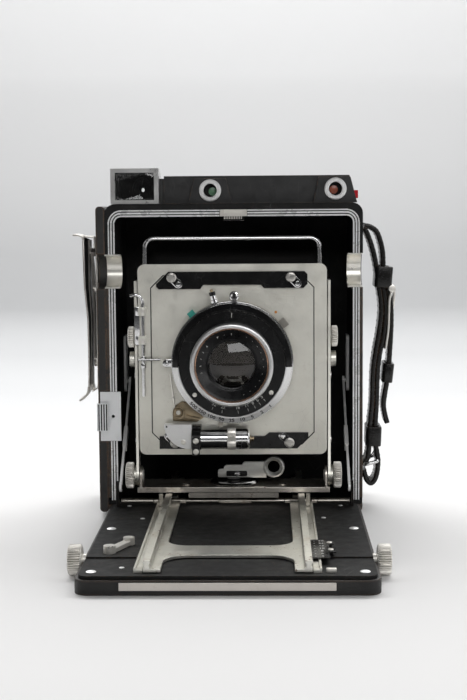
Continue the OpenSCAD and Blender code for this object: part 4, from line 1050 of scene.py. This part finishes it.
# Each is a material, a bevel's width and steps, and the nodes
for dressing in (
        (LEATHER, 0.8, 3, "side_cover"),
        (BED_LEATHER, 0.8, 3, "bed_panel"),
        (TRIM, 0.12, 1, "front_trim"),
        (LINER, 0.2, 2, "notch_liners"),
        (FROST, 0.2, 2, "release_plate"),
        (FINDER, 0.9, 3, "viewfinder_body"),
        (FROST, 0.08, 1, "release_pad"),
        (NICKEL, 0.35, 2, "back_locks bed_catch"),
        (CRACKLE, 0.9, 3, "rangefinder_housing"),
        (DARK_NICKEL, 0.2, 2, "hinge_barrel bed_hinge tripod_plate pinion_shaft infinity_stops"),
        (STRUT, 0.2, 2, "brace_tracks brace_left brace_right"),
        (TRACK, 0.25, 2, "inner_rails guide_rails focus_track"),
        (ENAMEL, 0.6, 2, "back_frame focus_panel focusing_hood peep_sight"),
        (ENAMEL, 0.15, 2, "top_slider bottom_slider"),
        (ENAMEL, 0.25, 2, "shutter_case"),
        (ENAMEL, 0.1, 2, "scale_plate"),
        (PLATE_BLACK, 0.5, 2, "bed_plate"),
        (STRIP, 0.3, 2, "bed_edge_strip"),
        (DARK_NICKEL, 0.3, 2, "aperture_ring"),
        (NICKEL, 0.6, 3, "track_lock_lever"),
        (BASE, 0.3, 2, "standard_base"),
        (PLATE, 0.35, 2, "standard_arms"),
        (PLATE, 0.7, 3, "lens_frame_plate"),
        (PLATE, 0.3, 2, "lens_board"),
        (GROUND, 0.1, 2, "ground_glass"),
        (RED, 0.3, 2, "red_button"),
        (TEAL, 0.3, 2, "sync_lever")):
    dress(*dressing)
paint("front_trim", lambda x, y, z: y > FRONT + 0.45)
paint("viewfinder_body", lambda x, y, z: -78.5 < x < -52.3 and 212.3 < z < 230.7 and y > FRONT + 3)
paint("bed_catch", lambda x, y, z: y > FRONT + 2 and z > 198.9)


# ---- camera, light and floor; places are in metres, but the sheet's are in mm ----
def aim(position, *angles):
    """A camera matrix from a place, and angles in degrees: to the right, down, and clockwise."""
    yaw, pitch, roll = (math.radians(a) for a in angles)
    ahead = Vector((math.sin(yaw) * math.cos(pitch), math.cos(yaw) * math.cos(pitch), -math.sin(pitch)))
    right = Vector((math.cos(yaw), -math.sin(yaw), 0))
    up = right.cross(ahead)
    return turned(position, math.cos(roll) * right + math.sin(roll) * up,
                  math.cos(roll) * up - math.sin(roll) * right, -ahead)


FOCAL_LENGTH, CAMERA_AT, YAW, PITCH, ROLL = 74.3, (0.0227, -1.0012, 0.2105), -1.39, 5.83, -0.42
camera = link("camera", settle(bpy.data.cameras.new("camera"), lens=FOCAL_LENGTH, clip_start=0.01))
camera.matrix_world = aim(CAMERA_AT, YAW, PITCH, ROLL)
bpy.context.scene.camera = camera

paper = Look("paper", 0.75)
# The paper is painted darker towards the back of the floor and lighter again up the curve to the wall: painted shade
# and light on the sweep. The faint large noise is uneven tone.
ground = paper.ramp(paper.along(1), (0, (0.8, 0.795, 0.79)), (0.2, 0.72), (0.6, (0.53, 0.535, 0.54)),
                    (1, (0.43, 0.435, 0.44)))
rise = paper.mix(paper.ramp(paper.along(2), (0, 0), (0.1, 0.12), (0.25, 0.45), (0.5, 1)), ground, 0.94)
paper.fixed(Base_Color=paper.mix(paper.times(paper.noise(400, 2), 0.06), rise, (0.8, 0.8, 0.81)))
SHEET_NEAR, CURVE_START, CURVE_R, SHEET_TOP, SHEET_HALF = -900, 1850, 450, 3000, 2600
curve = [(CURVE_START + CURVE_R * math.sin(a), CURVE_R - CURVE_R * math.cos(a)) for a in quarter(0, 14)]
sheet = [(SHEET_NEAR, 0)] + curve + [(CURVE_START + CURVE_R, SHEET_TOP)]
n = len(sheet)
cove = Build(paper.mat)
cove.whole = part_of([(x, y, z) for x in (-SHEET_HALF, SHEET_HALF) for y, z in sheet],
                     [[i, i + 1, n + i + 1, n + i] for i in range(n - 1)])
floor = cove.made("backdrop")

SUBJECT = (0, -0.1, 0.1)
for name, place, target, size, power in (
        ("front", (0.35, -1.7, 0.95), SUBJECT, (1.3, 0.5), 10),
        ("near", (1.3, -1.25, 0.55), SUBJECT, (0.5, 0.7), 3),
        ("above", (0, 0.98, 1.4), (0, 0, 0), (2.6, 0.8), 39),
        ("right", (1.7, 0.2, 0.9), SUBJECT, (0.9, 1.2), 6),
        ("left", (-1.8, 0.2, 0.9), SUBJECT, (0.9, 1.2), 6),
        ("wall", (0, 1.35, 1.9), (0, 2.3, 1), (2.6, 0.3), 30)):
    softbox = bpy.data.lights.new(name, "AREA")
    settle(softbox, shape="RECTANGLE", size=size[0], size_y=size[1], energy=power)
    settle(link(name, softbox), location=place, rotation_mode="QUATERNION",
           rotation_quaternion=(Vector(target) - Vector(place)).to_track_quat("-Z", "Y"))

# A dim room, a little lighter below the horizon
world = bpy.data.worlds.new("room")
bpy.context.scene.world = world
world.use_nodes = True
room = Tree(world.node_tree)
direction = room.node("ShaderNodeTexCoord").outputs["Generated"]
height = room.node("ShaderNodeSeparateXYZ", Vector=direction).outputs[2]
height = room.node("ShaderNodeMapRange", From_Min=-1, Value=height).outputs[0]
levels = ((0, 0.1), (0.485, 0.1), (0.52, 0.05), (0.75, 0.06), (1, 0.08))
sky = room.ramp(height, *((at, (grey, grey, grey * 1.01)) for at, grey in levels))
room.feed(room.tree.nodes["Background"].inputs["Color"], sky)
bpy.context.scene.view_settings.view_transform = "Standard"
